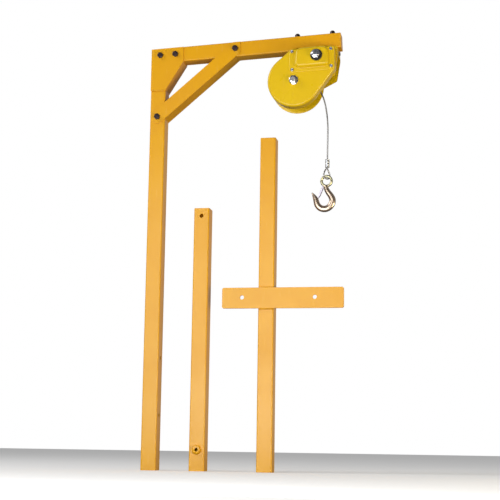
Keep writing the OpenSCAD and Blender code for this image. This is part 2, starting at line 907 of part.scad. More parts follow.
mast_tube();
boom_tube();
boom_end_cap();
corner_gusset();
diagonal_brace();
frame_bolts();
frame_washers();
frame_nuts();
winch_bolts();
winch_washers();
winch_nuts();
winch_frame();
frame_end_screw();
gear_cover();
cover_posts();
brake_cap();
cap_screws();
drum_axle();
axle_washers();
axle_nuts();
drum();
drum_gear();
drum_bushes();
rope_wound();
drive_bushes();
drive_seal_ring();
drive_shaft();
drive_pinion();
friction_discs();
ratchet_wheel();
brake_hub();
drive_nut();
drive_circlip();
pawl();
pawl_pin();
pawl_spring();
rope_free();
rope_ferrule();
rope_loop();
hook();
hook_latch();
latch_pin();
latch_spring();
extension_tube();
weld_nut();
cross_tube();
cross_bar();
cross_welds();
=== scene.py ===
"""Looks of a bolt-together davit hoist kit: mast, boom and brace, geared brake winch, rope and hook.

Lengths are in millimetres in the classes below and become metres where a mesh is made.
"""

import logging
import math
from dataclasses import dataclass, field
from enum import Enum
from typing import Callable, Iterable, Sequence

import bmesh
import bpy
from mathutils import Matrix, Vector


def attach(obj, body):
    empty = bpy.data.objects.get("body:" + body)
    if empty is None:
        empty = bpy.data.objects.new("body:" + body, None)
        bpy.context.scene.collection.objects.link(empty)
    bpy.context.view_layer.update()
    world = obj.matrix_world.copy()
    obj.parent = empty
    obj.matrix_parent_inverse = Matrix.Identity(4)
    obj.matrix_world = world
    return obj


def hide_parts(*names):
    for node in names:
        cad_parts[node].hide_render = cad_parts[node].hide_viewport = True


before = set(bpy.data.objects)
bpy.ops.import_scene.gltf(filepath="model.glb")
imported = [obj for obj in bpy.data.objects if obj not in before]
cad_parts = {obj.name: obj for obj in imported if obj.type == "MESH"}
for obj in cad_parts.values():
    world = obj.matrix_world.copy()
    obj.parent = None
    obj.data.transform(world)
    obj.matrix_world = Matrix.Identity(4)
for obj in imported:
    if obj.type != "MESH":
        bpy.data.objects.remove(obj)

LOG = logging.getLogger("davit")
MM = 0.001
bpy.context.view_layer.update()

Colour = tuple[float, float, float]
Flat = tuple[float, float]
Circle = tuple[float, float, float]


class Slot(Enum):
    """Material slots of the record."""

    FRAME_PAINT = "frame_paint"
    WINCH_PAINT = "winch_paint"
    BLACK_STEEL = "black_steel"
    CHROME = "bright_chrome"
    STEEL = "plain_steel"
    BRONZE = "bush_bronze"
    RUBBER = "black_rubber"
    LINING = "friction_lining"
    ROPE = "wire_rope"
    FERRULE = "ferrule_alloy"
    ZINC = "hook_zinc"
    LATCH = "latch_steel"


# ---- Shader building ----


class Signal:
    """A shader socket that takes part in Python arithmetic."""

    def __init__(self, paint: "Paint", socket: bpy.types.NodeSocket) -> None:
        """Wraps one output socket of a paint's node tree."""
        self.paint = paint
        self.socket = socket

    def _join(self, operation: str, left: "Signal | float", right: "Signal | float") -> "Signal":
        """Adds one Math node for two operands."""
        return self.paint.node("ShaderNodeMath", {"operation": operation}, {0: left, 1: right})

    def __add__(self, other: "Signal | float") -> "Signal":
        """Sum of two values."""
        return self._join("ADD", self, other)

    def __radd__(self, other: float) -> "Signal":
        """Sum with a plain number on the left."""
        return self._join("ADD", other, self)

    def __sub__(self, other: "Signal | float") -> "Signal":
        """Difference of two values."""
        return self._join("SUBTRACT", self, other)

    def __rsub__(self, other: float) -> "Signal":
        """Difference with a plain number on the left."""
        return self._join("SUBTRACT", other, self)

    def __mul__(self, other: "Signal | float") -> "Signal":
        """Product of two values."""
        return self._join("MULTIPLY", self, other)

    def __rmul__(self, other: float) -> "Signal":
        """Product with a plain number on the left."""
        return self._join("MULTIPLY", other, self)


class Paint:
    """Builds one material's node tree."""

    def __init__(self, name: str) -> None:
        """Starts a material with only its Principled shader.

        Args:
            name: Name of the material.
        """
        self.material = bpy.data.materials.new(name)
        self.material.use_nodes = True
        self.tree = self.material.node_tree
        self.shader = self.tree.nodes["Principled BSDF"]
        self.place = self.node("ShaderNodeTexCoord", out="Object")

    def node(self, kind: str, settings: dict | None = None, inputs: dict | None = None,
             out: int | str = 0) -> Signal:
        """Adds a node, sets it up and feeds it.

        Args:
            kind: Blender's name of the node type.
            settings: Properties of the node, set first.
            inputs: Values or signals by socket name or number.
            out: Name or number of the wanted output.

        Returns:
            The wanted output as a signal.
        """
        node = self.tree.nodes.new(kind)
        for key, value in (settings or {}).items():
            setattr(node, key, value)
        for key, value in (inputs or {}).items():
            if isinstance(value, Signal):
                self.tree.links.new(value.socket, node.inputs[key])
            else:
                node.inputs[key].default_value = value
        return Signal(self, node.outputs[out])

    def noise(self, scale: float, detail: float = 2.0, stretch: Colour = (1, 1, 1)) -> Signal:
        """Noise over the piece.

        Args:
            scale: Cells per metre.
            detail: Octaves of finer noise.
            stretch: Multiples of the scale along X, Y and Z.

        Returns:
            The noise, from 0 to 1.
        """
        place = self.place
        if stretch != (1, 1, 1):
            place = self.node("ShaderNodeMapping", None, {"Vector": place, "Scale": stretch}, "Vector")
        return self.node("ShaderNodeTexNoise", None,
                         {"Vector": place, "Scale": scale, "Detail": detail})

    def ramp(self, value: Signal, low: float, high: float, to_low: float = 0.0,
             to_high: float = 1.0) -> Signal:
        """Maps a value's range to another, clamped at both ends.

        Args:
            value: Signal to map.
            low: Value that gives to_low.
            high: Value that gives to_high.
            to_low: Result at low.
            to_high: Result at high.

        Returns:
            The mapped signal.
        """
        return self.node("ShaderNodeMapRange", {"interpolation_type": "SMOOTHSTEP"},
                         {"Value": value, "From Min": low, "From Max": high,
                          "To Min": to_low, "To Max": to_high})

    def blend(self, factor: Signal | float, first: Signal | Colour, second: Signal | Colour) -> Signal:
        """Mixes two colours.

        Args:
            factor: Share of the second colour.
            first: Colour at factor 0.
            second: Colour at factor 1.

        Returns:
            The mixed colour.
        """
        ends = [c if isinstance(c, Signal) else (*c, 1.0) for c in (first, second)]
        return self.node("ShaderNodeMix", {"data_type": "RGBA"},
                         {0: factor, 6: ends[0], 7: ends[1]}, 2)

    def feed(self, **sockets: Signal | float | tuple) -> None:
        """Sets or links the shader's sockets, named with _ for a space."""
        for key, value in sockets.items():
            socket = self.shader.inputs[key.replace("_", " ")]
            if isinstance(value, Signal):
                self.tree.links.new(value.socket, socket)
            else:
                socket.default_value = value

    def bumps(self, *layers: tuple[Signal, float, float]) -> None:
        """Chains bumps into the shader's normal.

        Args:
            layers: (height signal, strength, depth in metres) of each layer, the broad ones first.
        """
        normal = None
        for height, strength, depth in layers:
            inputs = {"Height": height, "Strength": strength, "Distance": depth}
            if normal is not None:
                inputs["Normal"] = normal
            normal = self.node("ShaderNodeBump", None, inputs)
        self.feed(Normal=normal)


@dataclass(frozen=True)
class Enamel:
    """Sprayed and baked paint on steel: orange peel, soft tone patches, dust and hairline scuffs."""

    colour: Colour
    deep: Colour
    dust: Colour
    roughness: float = 0.30
    coat: float = 0.12
    gloss: float = 0.34
    peel_scale: float = 420.0
    peel_depth: float = 0.00012

    def material(self, name: str) -> bpy.types.Material:
        """Builds the paint's node tree."""
        paint = Paint(name)
        patches = paint.ramp(paint.noise(7.0, 3.0), 0.35, 0.7)
        runs = paint.ramp(paint.noise(38.0, 2.0, (1.0, 1.0, 0.25)), 0.45, 0.75)
        specks = paint.ramp(paint.noise(650.0, 1.0), 0.70, 0.78)
        scuffs = paint.ramp(paint.noise(130.0, 4.0, (1.0, 1.0, 0.12)), 0.63, 0.74)
        grime = paint.ramp(paint.noise(19.0, 4.0), 0.55, 0.85)
        tone = paint.blend(patches * 0.45 + runs * 0.15, self.colour, self.deep)
        tone = paint.blend(grime * 0.10 + specks * 0.18, tone, self.deep)
        tone = paint.blend(scuffs * 0.16, tone, self.dust)
        paint.feed(Base_Color=tone, Coat_Weight=self.coat, Coat_Roughness=0.16,
                   Specular_IOR_Level=self.gloss,
                   Roughness=self.roughness + patches * 0.06 + scuffs * 0.16 + grime * 0.06)
        paint.bumps((paint.noise(self.peel_scale * 0.2, 1.0), 0.25, self.peel_depth * 2.5),
                    (paint.noise(self.peel_scale, 2.0), 0.35, self.peel_depth),
                    (specks, 0.3, self.peel_depth * 0.5))
        return paint.material


@dataclass(frozen=True)
class Metal:
    """Bare or plated metal: cloudy tone, fine lay of the tool, spots and light scratches."""

    colour: Colour
    clouded: Colour
    spot: Colour
    roughness: float = 0.3
    metallic: float = 1.0
    lay: Colour = (1, 1, 1)
    lay_depth: float = 0.00002
    spots: float = 0.25
    cloud_scale: float = 60.0

    def material(self, name: str) -> bpy.types.Material:
        """Builds the metal's node tree."""
        paint = Paint(name)
        clouds = paint.ramp(paint.noise(self.cloud_scale, 3.0), 0.35, 0.7)
        grain = paint.noise(900.0, 3.0, self.lay)
        spots = paint.ramp(paint.noise(self.cloud_scale * 5, 4.0), 0.62, 0.72)
        scratches = paint.ramp(paint.noise(500.0, 2.0, (1.0, 0.2, 0.08)), 0.66, 0.72)
        tone = paint.blend(clouds, self.colour, self.clouded)
        tone = paint.blend(spots * self.spots, tone, self.spot)
        paint.feed(Base_Color=tone, Metallic=self.metallic,
                   Roughness=self.roughness + grain * 0.10 + spots * 0.2 - scratches * 0.06)
        paint.bumps((clouds, 0.15, self.lay_depth * 4), (grain, 0.5, self.lay_depth),
                    (scratches, 0.3, self.lay_depth))
        return paint.material


@dataclass(frozen=True)
class Matt:
    """Rubber, brake lining and other dull moulded stuff with a speckled grain."""

    colour: Colour
    fleck: Colour
    roughness: float = 0.7
    grain_scale: float = 900.0
    grain_depth: float = 0.00008

    def material(self, name: str) -> bpy.types.Material:
        """Builds the dull surface's node tree."""
        paint = Paint(name)
        grain = paint.noise(self.grain_scale, 3.0)
        flecks = paint.ramp(grain, 0.58, 0.68)
        bloom = paint.ramp(paint.noise(45.0, 3.0), 0.4, 0.8)
        tone = paint.blend(flecks * 0.5 + bloom * 0.2, self.colour, self.fleck)
        paint.feed(Base_Color=tone, Roughness=self.roughness + bloom * 0.12 - flecks * 0.08)
        paint.bumps((bloom, 0.2, self.grain_depth * 2), (grain, 0.6, self.grain_depth))
        return paint.material


@dataclass(frozen=True)
class YellowZinc:
    """Yellow-passivated zinc on a forging: greenish gold near the eye, pinkish bronze on the bow."""

    gold: Colour
    bronze: Colour
    film: Colour
    eye_low: float
    eye_high: float

    def material(self, name: str) -> bpy.types.Material:
        """Builds the plating's node tree."""
        paint = Paint(name)
        height = paint.node("ShaderNodeSeparateXYZ", None, {"Vector": paint.place}, "Z")
        drift = paint.noise(55.0, 3.0)
        share = paint.ramp(height + (drift - 0.5) * 0.02, self.eye_low, self.eye_high)
        tone = paint.blend(share, self.bronze, self.gold)
        films = paint.ramp(paint.noise(120.0, 3.0), 0.45, 0.68)
        tone = paint.blend(films * 0.35, tone, self.film)
        skin = paint.noise(420.0, 4.0)
        pits = paint.ramp(skin, 0.62, 0.72)
        paint.feed(Base_Color=tone, Metallic=0.95 - pits * 0.2,
                   Roughness=0.24 + films * 0.08 + pits * 0.15)
        paint.bumps((drift, 0.3, 0.0003), (skin, 0.4, 0.00006))
        return paint.material


FINISHES: dict[Slot, Enamel | Metal | Matt | YellowZinc] = {
    Slot.FRAME_PAINT: Enamel((0.790, 0.392, 0.001), (0.735, 0.335, 0.001), (0.88, 0.55, 0.12)),
    Slot.WINCH_PAINT: Enamel((0.780, 0.525, 0.002), (0.740, 0.465, 0.001), (0.88, 0.66, 0.12),
                             roughness=0.26, coat=0.2, peel_depth=0.00009),
    Slot.BLACK_STEEL: Metal((0.030, 0.018, 0.018), (0.060, 0.040, 0.046), (0.14, 0.07, 0.03),
                            roughness=0.36, metallic=0.6, cloud_scale=150.0),
    Slot.CHROME: Metal((0.78, 0.79, 0.84), (0.66, 0.67, 0.76), (0.5, 0.5, 0.55),
                       roughness=0.14, cloud_scale=110.0, spots=0.12),
    Slot.STEEL: Metal((0.46, 0.46, 0.47), (0.36, 0.355, 0.36), (0.22, 0.16, 0.12),
                      roughness=0.36, lay=(1.0, 0.1, 1.0)),
    Slot.BRONZE: Metal((0.60, 0.40, 0.16), (0.48, 0.30, 0.12), (0.2, 0.13, 0.08), roughness=0.38),
    Slot.RUBBER: Matt((0.012, 0.011, 0.011), (0.035, 0.032, 0.030), roughness=0.55),
    Slot.LINING: Matt((0.16, 0.12, 0.085), (0.36, 0.27, 0.15), roughness=0.8, grain_scale=600.0),
    Slot.ROPE: Metal((0.50, 0.50, 0.51), (0.38, 0.38, 0.40), (0.20, 0.19, 0.18),
                     roughness=0.34, cloud_scale=260.0, spots=0.4),
    Slot.FERRULE: Metal((0.66, 0.68, 0.70), (0.54, 0.56, 0.59), (0.4, 0.4, 0.42),
                        roughness=0.34, lay=(1.0, 1.0, 0.2)),
    Slot.ZINC: YellowZinc((0.52, 0.50, 0.30), (0.56, 0.44, 0.33), (0.50, 0.37, 0.36), 0.908, 0.926),
    Slot.LATCH: Metal((0.52, 0.48, 0.55), (0.44, 0.41, 0.49), (0.3, 0.27, 0.3),
                      roughness=0.3, cloud_scale=180.0),
}
_made: dict[Slot, bpy.types.Material] = {}


def finish_of(slot: Slot) -> bpy.types.Material:
    """The material of a slot, made when it is first asked for.

    Args:
        slot: Material slot of the record.

    Returns:
        The slot's material.
    """
    if slot not in _made:
        _made[slot] = FINISHES[slot].material(slot.value)
    return _made[slot]


# ---- Meshes ----


def piece_of(name: str, mesh: bpy.types.Mesh) -> bpy.types.Object:
    """Links a mesh into the scene as an object at the origin."""
    piece = bpy.data.objects.new(name, mesh)
    bpy.context.scene.collection.objects.link(piece)
    return piece


def closed_mesh(name: str, points: Sequence[Vector], faces: Sequence[Sequence[int]],
                sharp: float = 35.0) -> bpy.types.Object:
    """Makes a closed piece from points in millimetres.

    Args:
        name: Name of the piece.
        points: Corners in millimetres.
        faces: Corner numbers of each face.
        sharp: Angle in degrees past which an edge stays crisp.

    Returns:
        The piece, its faces turned outwards.
    """
    mesh = bpy.data.meshes.new(name)
    mesh.from_pydata([p * MM for p in points], [], [list(f) for f in faces])
    work = bmesh.new()
    work.from_mesh(mesh)
    bmesh.ops.recalc_face_normals(work, faces=work.faces)
    work.to_mesh(mesh)
    work.free()
    smooth(mesh, sharp)
    return piece_of(name, mesh)


def smooth(mesh: bpy.types.Mesh, sharp: float = 35.0) -> None:
    """Shades a mesh smooth, apart from edges sharper than an angle in degrees."""
    mesh.shade_smooth()
    mesh.set_sharp_from_angle(angle=math.radians(sharp))


def crisp(piece: bpy.types.Object, sharp: float = 35.0) -> bpy.types.Object:
    """Keeps the flat faces of a piece flat in its shading, however small its eased edges are."""
    smooth(piece.data, sharp)
    weigh = piece.modifiers.new("weigh", "WEIGHTED_NORMAL")
    weigh.keep_sharp = True
    weigh.weight = 90
    return settled(piece)


def settled(piece: bpy.types.Object, name: str | None = None) -> bpy.types.Object:
    """Turns a piece with modifiers into a plain mesh.

    Args:
        piece: Object with live modifiers.
        name: New name, or None to keep the old one.

    Returns:
        The plain piece, which takes the old one's place.
    """
    name = name or piece.name
    graph = bpy.context.evaluated_depsgraph_get()
    mesh = bpy.data.meshes.new_from_object(piece.evaluated_get(graph), depsgraph=graph)
    old = piece.data
    bpy.data.objects.remove(piece)
    if old.users == 0:
        bpy.data.meshes.remove(old)
    mesh.name = name
    return piece_of(name, mesh)


def joined(name: str, pieces: Iterable[bpy.types.Object]) -> bpy.types.Object:
    """Puts several closed pieces into one mesh.

    Args:
        name: Name of the new piece.
        pieces: Pieces at the origin, which are used up.

    Returns:
        One piece that holds them all.
    """
    work = bmesh.new()
    for part in list(pieces):
        work.from_mesh(part.data)
        bpy.data.objects.remove(part)
    mesh = bpy.data.meshes.new(name)
    work.to_mesh(mesh)
    work.free()
    smooth(mesh)
    return piece_of(name, mesh)


def loft(name: str, rings: Sequence[Sequence[Vector]], ring_shut: bool = False) -> bpy.types.Object:
    """Skins closed rings of the same number of points.

    Args:
        name: Name of the piece.
        rings: Rings of points in millimetres.
        ring_shut: True to join the last ring to the first, False to close both ends with faces.

    Returns:
        The closed piece.
    """
    count = len(rings[0])
    points = [p for ring in rings for p in ring]
    last = len(rings) if ring_shut else len(rings) - 1
    faces: list[list[int]] = []
    for i in range(last):
        a, b = i * count, (i + 1) % len(rings) * count
        faces += [[a + j, a + (j + 1) % count, b + (j + 1) % count, b + j] for j in range(count)]
    if not ring_shut:
        faces.append(list(range(count)))
        faces.append([len(points) - 1 - j for j in range(count)])
    return closed_mesh(name, points, faces)


def across(axis: Vector) -> tuple[Vector, Vector]:
    """Two directions square to an axis and to each other."""
    side = axis.cross(Vector((0, 0, 1)))
    if side.length < 0.2:
        side = axis.cross(Vector((1, 0, 0)))
    side.normalize()
    return side, axis.cross(side).normalized()


@dataclass(frozen=True)
class Turned:
    """A piece turned on a lathe, or milled to a hexagon, round an axis."""

    centre: Vector
    axis: Vector
    steps: int = 48

    def ring(self, reach: Callable[[float], float] | float,
             along: Callable[[float], float] | float) -> list[Vector]:
        """One ring round the axis.

        Args:
            reach: Radius, or radius by angle.
            along: Place along the axis, or place by angle.

        Returns:
            The ring's points.
        """
        side, up = across(self.axis)
        points = []
        for k in range(self.steps):
            angle = 2 * math.pi * k / self.steps
            radius = reach(angle) if callable(reach) else reach
            height = along(angle) if callable(along) else along
            turn = side * math.cos(angle) + up * math.sin(angle)
            points.append(self.centre + turn * radius + self.axis * height)
        return points

    def solid(self, name: str, profile: Sequence[Flat]) -> bpy.types.Object:
        """A solid of revolution from (radius, place along the axis) pairs."""
        return loft(name, [self.ring(r, t) for r, t in profile])

    def hoop(self, name: str, profile: Sequence[Flat]) -> bpy.types.Object:
        """A ring-shaped piece whose (radius, place) section is closed."""
        return loft(name, [self.ring(r, t) for r, t in profile], ring_shut=True)

    def hexagon(self, name: str, corner: float, low: float, high: float, both: bool = True,
                recess: tuple[float, float] | None = None) -> bpy.types.Object:
        """A bolt head or nut with turned chamfers.

        Args:
            name: Name of the piece.
            corner: Radius to the hexagon's corners.
            low: Place of the seat along the axis.
            high: Place of the outer face.
            both: True to chamfer the seat's side too, as on a nut.
            recess: Radius and depth of a turned dish in the outer face, or None.

        Returns:
            The hexagonal piece.
        """
        flat = corner * math.cos(math.pi / 6)
        land = flat * 0.96

        def edge(angle: float) -> float:
            """Radius of the hexagon in a direction."""
            return flat / math.cos((angle % (math.pi / 3)) - math.pi / 6)

        def drop(angle: float) -> float:
            """How far the chamfer has fallen at a direction."""
            return (edge(angle) - land) * math.tan(math.radians(30))

        rings = [self.ring(land, low), self.ring(edge, lambda a: low + drop(a))] if both else \
            [self.ring(edge, low)]
        rings += [self.ring(edge, lambda a: high - drop(a)), self.ring(land, high)]
        if recess:
            rings += [self.ring(recess[0], high), self.ring(recess[0] - 0.6, high - recess[1])]
        return loft(name, rings)

    def threaded(self, name: str, radius: float, low: float, high: float, thread: float,
                 pitch: float = 1.75) -> bpy.types.Object:
        """A bolt's shank with thread ridges at its far end.

        Args:
            name: Name of the piece.
            radius: Radius of the shank.
            low: Start of the shank along the axis.
            high: End of the shank.
            thread: Length of the threaded end.
            pitch: Distance between two ridges.

        Returns:
            The shank.
        """
        root = radius - 0.6 * pitch
        profile = [(radius, low), (radius, high - thread)]
        for k in range(int(thread / pitch)):
            start = high - thread + k * pitch
            profile += [(root, start + 0.3 * pitch), (root, start + 0.45 * pitch),
                        (radius, start + 0.8 * pitch)]
        profile += [(radius, high - 1.0), (root, high)]
        return self.solid(name, profile)


@dataclass(frozen=True)
class Boom:
    """The boom's own directions: u along it, w up from its top face, y unchanged."""

    corner_x: float = -25.4
    corner_z: float = 1400.0
    rise: float = math.radians(2.5)

    def at(self, u: float, w: float, y: float = 0.0) -> Vector:
        """The row-frame point, in millimetres, of a place on the boom."""
        return Vector((self.corner_x + u * math.cos(self.rise) - w * math.sin(self.rise), y,
                       self.corner_z + u * math.sin(self.rise) + w * math.cos(self.rise)))

    def up(self) -> Vector:
        """Direction square to the boom's top face."""
        return Vector((-math.sin(self.rise), 0, math.cos(self.rise)))


BOOM = Boom()
BACKWARDS = Vector((0, 1, 0))
FORWARDS = Vector((0, -1, 0))
UP = Vector((0, 0, 1))


def belt(circles: Sequence[Circle], inset: float = 0.0, steps: int | None = None) -> list[Flat]:
    """Outline of a belt round circles.

    Args:
        circles: (u, w, radius) of each circle, anticlockwise.
        inset: Distance that the outline is drawn in.
        steps: Pieces of each arc, or None for one every 5 degrees.

    Returns:
        The outline's points, the same number for every inset.
    """
    turns = []
    for a, b in zip(circles, [*circles[1:], circles[0]]):
        du, dw = b[0] - a[0], b[1] - a[1]
        turns.append(math.atan2(dw, du) - math.acos((a[2] - b[2]) / math.hypot(du, dw)))
    points = []
    for i, (u, w, r) in enumerate(circles):
        start = turns[i - 1]
        sweep = (turns[i] - start) % (2 * math.pi)
        parts = steps or max(4, round(math.degrees(sweep) / 5))
        for k in range(parts + 1):
            angle = start + sweep * k / parts
            points.append((u + (r - inset) * math.cos(angle), w + (r - inset) * math.sin(angle)))
    return points


def rounding(radius: float, parts: int = 6) -> list[Flat]:
    """(inset, depth) pairs of a quarter round, from the side to the face."""
    angles = [math.pi / 2 * k / parts for k in range(parts + 1)]
    return [(radius * (1 - math.cos(a)), radius * (1 - math.sin(a))) for a in angles]


def pressed(name: str, stations: Sequence[tuple[Sequence[Circle], float, float]],
            steps: int | None = None) -> bpy.types.Object:
    """A pressed sheet part from outlines at stations along y, out along one skin and back the other.

    Args:
        name: Name of the piece.
        stations: (circles, inset, y) of each outline.
        steps: Pieces of each arc, or None for one every 5 degrees.

    Returns:
        The closed piece.
    """
    return loft(name, [[BOOM.at(u, w, y) for u, w in belt(circles, inset, steps)]
                       for circles, inset, y in stations])


def drilled(piece: bpy.types.Object, cutters: Sequence[bpy.types.Object]) -> bpy.types.Object:
    """Cuts holes in a piece.

    Args:
        piece: Closed piece.
        cutters: Closed pieces to take away, which are used up.

    Returns:
        The piece with its holes.
    """
    for cutter in cutters:
        hole = piece.modifiers.new("hole", "BOOLEAN")
        hole.operation = "DIFFERENCE"
        hole.solver = "EXACT"
        hole.object = cutter
    result = settled(piece, piece.name)
    for cutter in cutters:
        bpy.data.objects.remove(cutter)
    return crisp(result)


def bend_edges(work: bmesh.types.BMesh, web: float) -> list[bmesh.types.BMEdge]:
    """Edges where an upright cheek turns into a web at least so many millimetres wide."""
    found = []
    for edge in work.edges:
        faces = edge.link_faces
        if len(faces) != 2:
            continue
        cheek, other = sorted(faces, key=lambda f: -abs(f.normal.y))
        wide = [v.co.y for v in other.verts]
        if abs(cheek.normal.y) > 0.99 and abs(other.normal.y) < 0.02 and max(wide) - min(wide) > web * MM:
            found.append(edge)
    return found


def eased(node: str, name: str, width: float, segments: int = 2, sharp: float = 30.0,
          bend: float = 0.0) -> bpy.types.Object:
    """A copy of a CAD node with its crisp edges eased.

    Args:
        node: CAD node.
        name: Name of the new piece.
        width: Width of the easing in millimetres.
        segments: Faces across each eased edge.
        sharp: Angle in degrees past which an edge is eased.
        bend: Radius of the bends between cheeks and web, or 0 for none.

    Returns:
        The eased piece.
    """
    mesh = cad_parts[node].data.copy()
    mesh.name = name
    work = bmesh.new()
    work.from_mesh(mesh)
    bmesh.ops.remove_doubles(work, verts=work.verts, dist=2e-6)
    bmesh.ops.dissolve_limit(work, angle_limit=math.radians(0.6), verts=work.verts, edges=work.edges)
    if bend:
        work.normal_update()
        bends = bend_edges(work, 40.0)
        bmesh.ops.bevel(work, geom=bends, offset=bend * MM, offset_type="OFFSET",
                        segments=5, profile=0.5, affect="EDGES", clamp_overlap=True)
        LOG.info("%s: %d bends", name, len(bends))
    work.to_mesh(mesh)
    work.free()
    if "custom_normal" in mesh.attributes:
        mesh.attributes.remove(mesh.attributes["custom_normal"])
    piece = piece_of(name, mesh)
    ease = piece.modifiers.new("ease", "BEVEL")
    ease.width = width * MM
    ease.segments = segments
    ease.limit_method = "ANGLE"
    ease.angle_limit = math.radians(sharp)
    ease.use_clamp_overlap = True
    return crisp(settled(piece, name), 50)


def spline(points: Sequence[Vector], step: float) -> list[Vector]:
    """A smooth line through points.

    Args:
        points: Points to pass through, in millimetres.
        step: Rough distance between the line's own points.

    Returns:
        Closely spaced points of a Catmull-Rom curve.
    """
    ends = [points[0] * 2 - points[1], *points, points[-1] * 2 - points[-2]]
    line = []
    for a, b, c, d in zip(ends, ends[1:], ends[2:], ends[3:]):
        parts = max(1, round((c - b).length / step))
        for k in range(parts):
            t = k / parts
            line.append(0.5 * (2 * b + (c - a) * t + (2 * a - 5 * b + 4 * c - d) * t ** 2
                               + (3 * b - a - 3 * c + d) * t ** 3))
    return [*line, points[-1].copy()]


def carried_frames(line: Sequence[Vector]) -> list[tuple[Vector, Vector]]:
    """Two cross directions at each point of a line, carried along it without twist."""
    frames = []
    side = None
    for i in range(len(line)):
        along = (line[min(i + 1, len(line) - 1)] - line[max(i - 1, 0)]).normalized()
        if side is None:
            side = across(along)[0]
        side = (side - along * side.dot(along)).normalized()
        frames.append((side, along.cross(side)))
    return frames


def length_of(line: Sequence[Vector]) -> float:
    """Length of a line of points."""
    return sum((b - a).length for a, b in zip(line, line[1:]))


@dataclass(frozen=True)
class LaidRope:
    """Wire rope of six strands laid round a core, drawn as one closed skin."""

    diameter: float = 5.0
    strands: int = 6
    lay: float = 32.0
    points_a_strand: int = 5

    def reach(self, angle: float) -> float:
        """Radius of the strands' outline at an angle."""
        centre = self.diameter * 0.33
        strand = self.diameter * 0.17
        pitch = 2 * math.pi / self.strands
        off = (angle + pitch / 2) % pitch - pitch / 2
        inside = max(0.0, strand ** 2 - (centre * math.sin(off)) ** 2)
        return centre * math.cos(off) + math.sqrt(inside)

    def along(self, name: str, line: Sequence[Vector]) -> bpy.types.Object:
        """Lays the rope along a line of closely spaced points, with closed ends.

        Args:
            name: Name of the piece.
            line: Centre line in millimetres.

        Returns:
            The rope piece.
        """
        count = self.strands * self.points_a_strand
        rings, run = [], 0.0
        for i, (side, up) in enumerate(carried_frames(line)):
            run += (line[i] - line[i - 1]).length if i else 0.0
            twist = 2 * math.pi * run / self.lay
            ring = []
            for k in range(count):
                angle = 2 * math.pi * k / count
                turn = side * math.cos(angle + twist) + up * math.sin(angle + twist)
                ring.append(line[i] + turn * self.reach(angle))
            rings.append(ring)
        rope = loft(name, rings)
        smooth(rope.data, 80)
        return rope


def coil(name: str, line: Sequence[Vector], wire: float) -> bpy.types.Object:
    """A round wire of some radius along a line, with closed ends."""
    rings = []
    for point, (side, up) in zip(line, carried_frames(line)):
        angles = [2 * math.pi * k / 8 for k in range(8)]
        rings.append([point + (side * math.cos(a) + up * math.sin(a)) * wire for a in angles])
    return loft(name, rings)


# ---- Geometry Nodes ----


class Tree:
    """A Geometry Nodes tree with named inputs, used through a modifier."""

    def __init__(self, name: str, inputs: dict[str, str]) -> None:
        """Starts a tree.

        Args:
            name: Name of the tree.
            inputs: Socket type by input name, after the geometry itself.
        """
        self.tree = bpy.data.node_groups.new(name, "GeometryNodeTree")
        self.sockets = {}
        face = self.tree.interface
        face.new_socket("Geometry", in_out="INPUT", socket_type="NodeSocketGeometry")
        for key, kind in inputs.items():
            self.sockets[key] = face.new_socket(key, in_out="INPUT", socket_type=kind).identifier
        face.new_socket("Geometry", in_out="OUTPUT", socket_type="NodeSocketGeometry")
        self.source = self.tree.nodes.new("NodeGroupInput")
        self.result = self.tree.nodes.new("NodeGroupOutput")

    def node(self, kind: str, settings: dict | None = None, inputs: dict | None = None) -> bpy.types.Node:
        """Adds a node, sets it up and feeds it.

        Args:
            kind: Blender's name of the node type.
            settings: Properties of the node, set first.
            inputs: Values or output sockets by input name or number.

        Returns:
            The node.
        """
        node = self.tree.nodes.new(kind)
        for key, value in (settings or {}).items():
            setattr(node, key, value)
        for key, value in (inputs or {}).items():
            if isinstance(value, bpy.types.NodeSocket):
                self.tree.links.new(value, node.inputs[key])
            else:
                node.inputs[key].default_value = value
        return node

    def given(self, name: str) -> bpy.types.NodeSocket:
        """The socket of one of the tree's own inputs."""
        return self.source.outputs[name]

    def finish_with(self, geometry: bpy.types.NodeSocket) -> None:
        """Ends the tree in Realize Instances and Set Material."""
        real = self.node("GeometryNodeRealizeInstances", None, {0: geometry})
        painted = self.node("GeometryNodeSetMaterial", None,
                            {"Geometry": real.outputs[0], "Material": self.given("Finish")})
        self.tree.links.new(painted.outputs[0], self.result.inputs[0])

    def run(self, name: str, source: bpy.types.Object, values: dict) -> bpy.types.Object:
        """Runs the tree on an object and makes its result a plain mesh.

        Args:
            name: Name of the result.
            source: Object that the tree works on, which is used up.
            values: Value by input name.

        Returns:
            The plain piece.
        """
        layer = source.modifiers.new(name, "NODES")
        layer.node_group = self.tree
        for key, value in values.items():
            layer[self.sockets[key]] = value
        return settled(source, name)


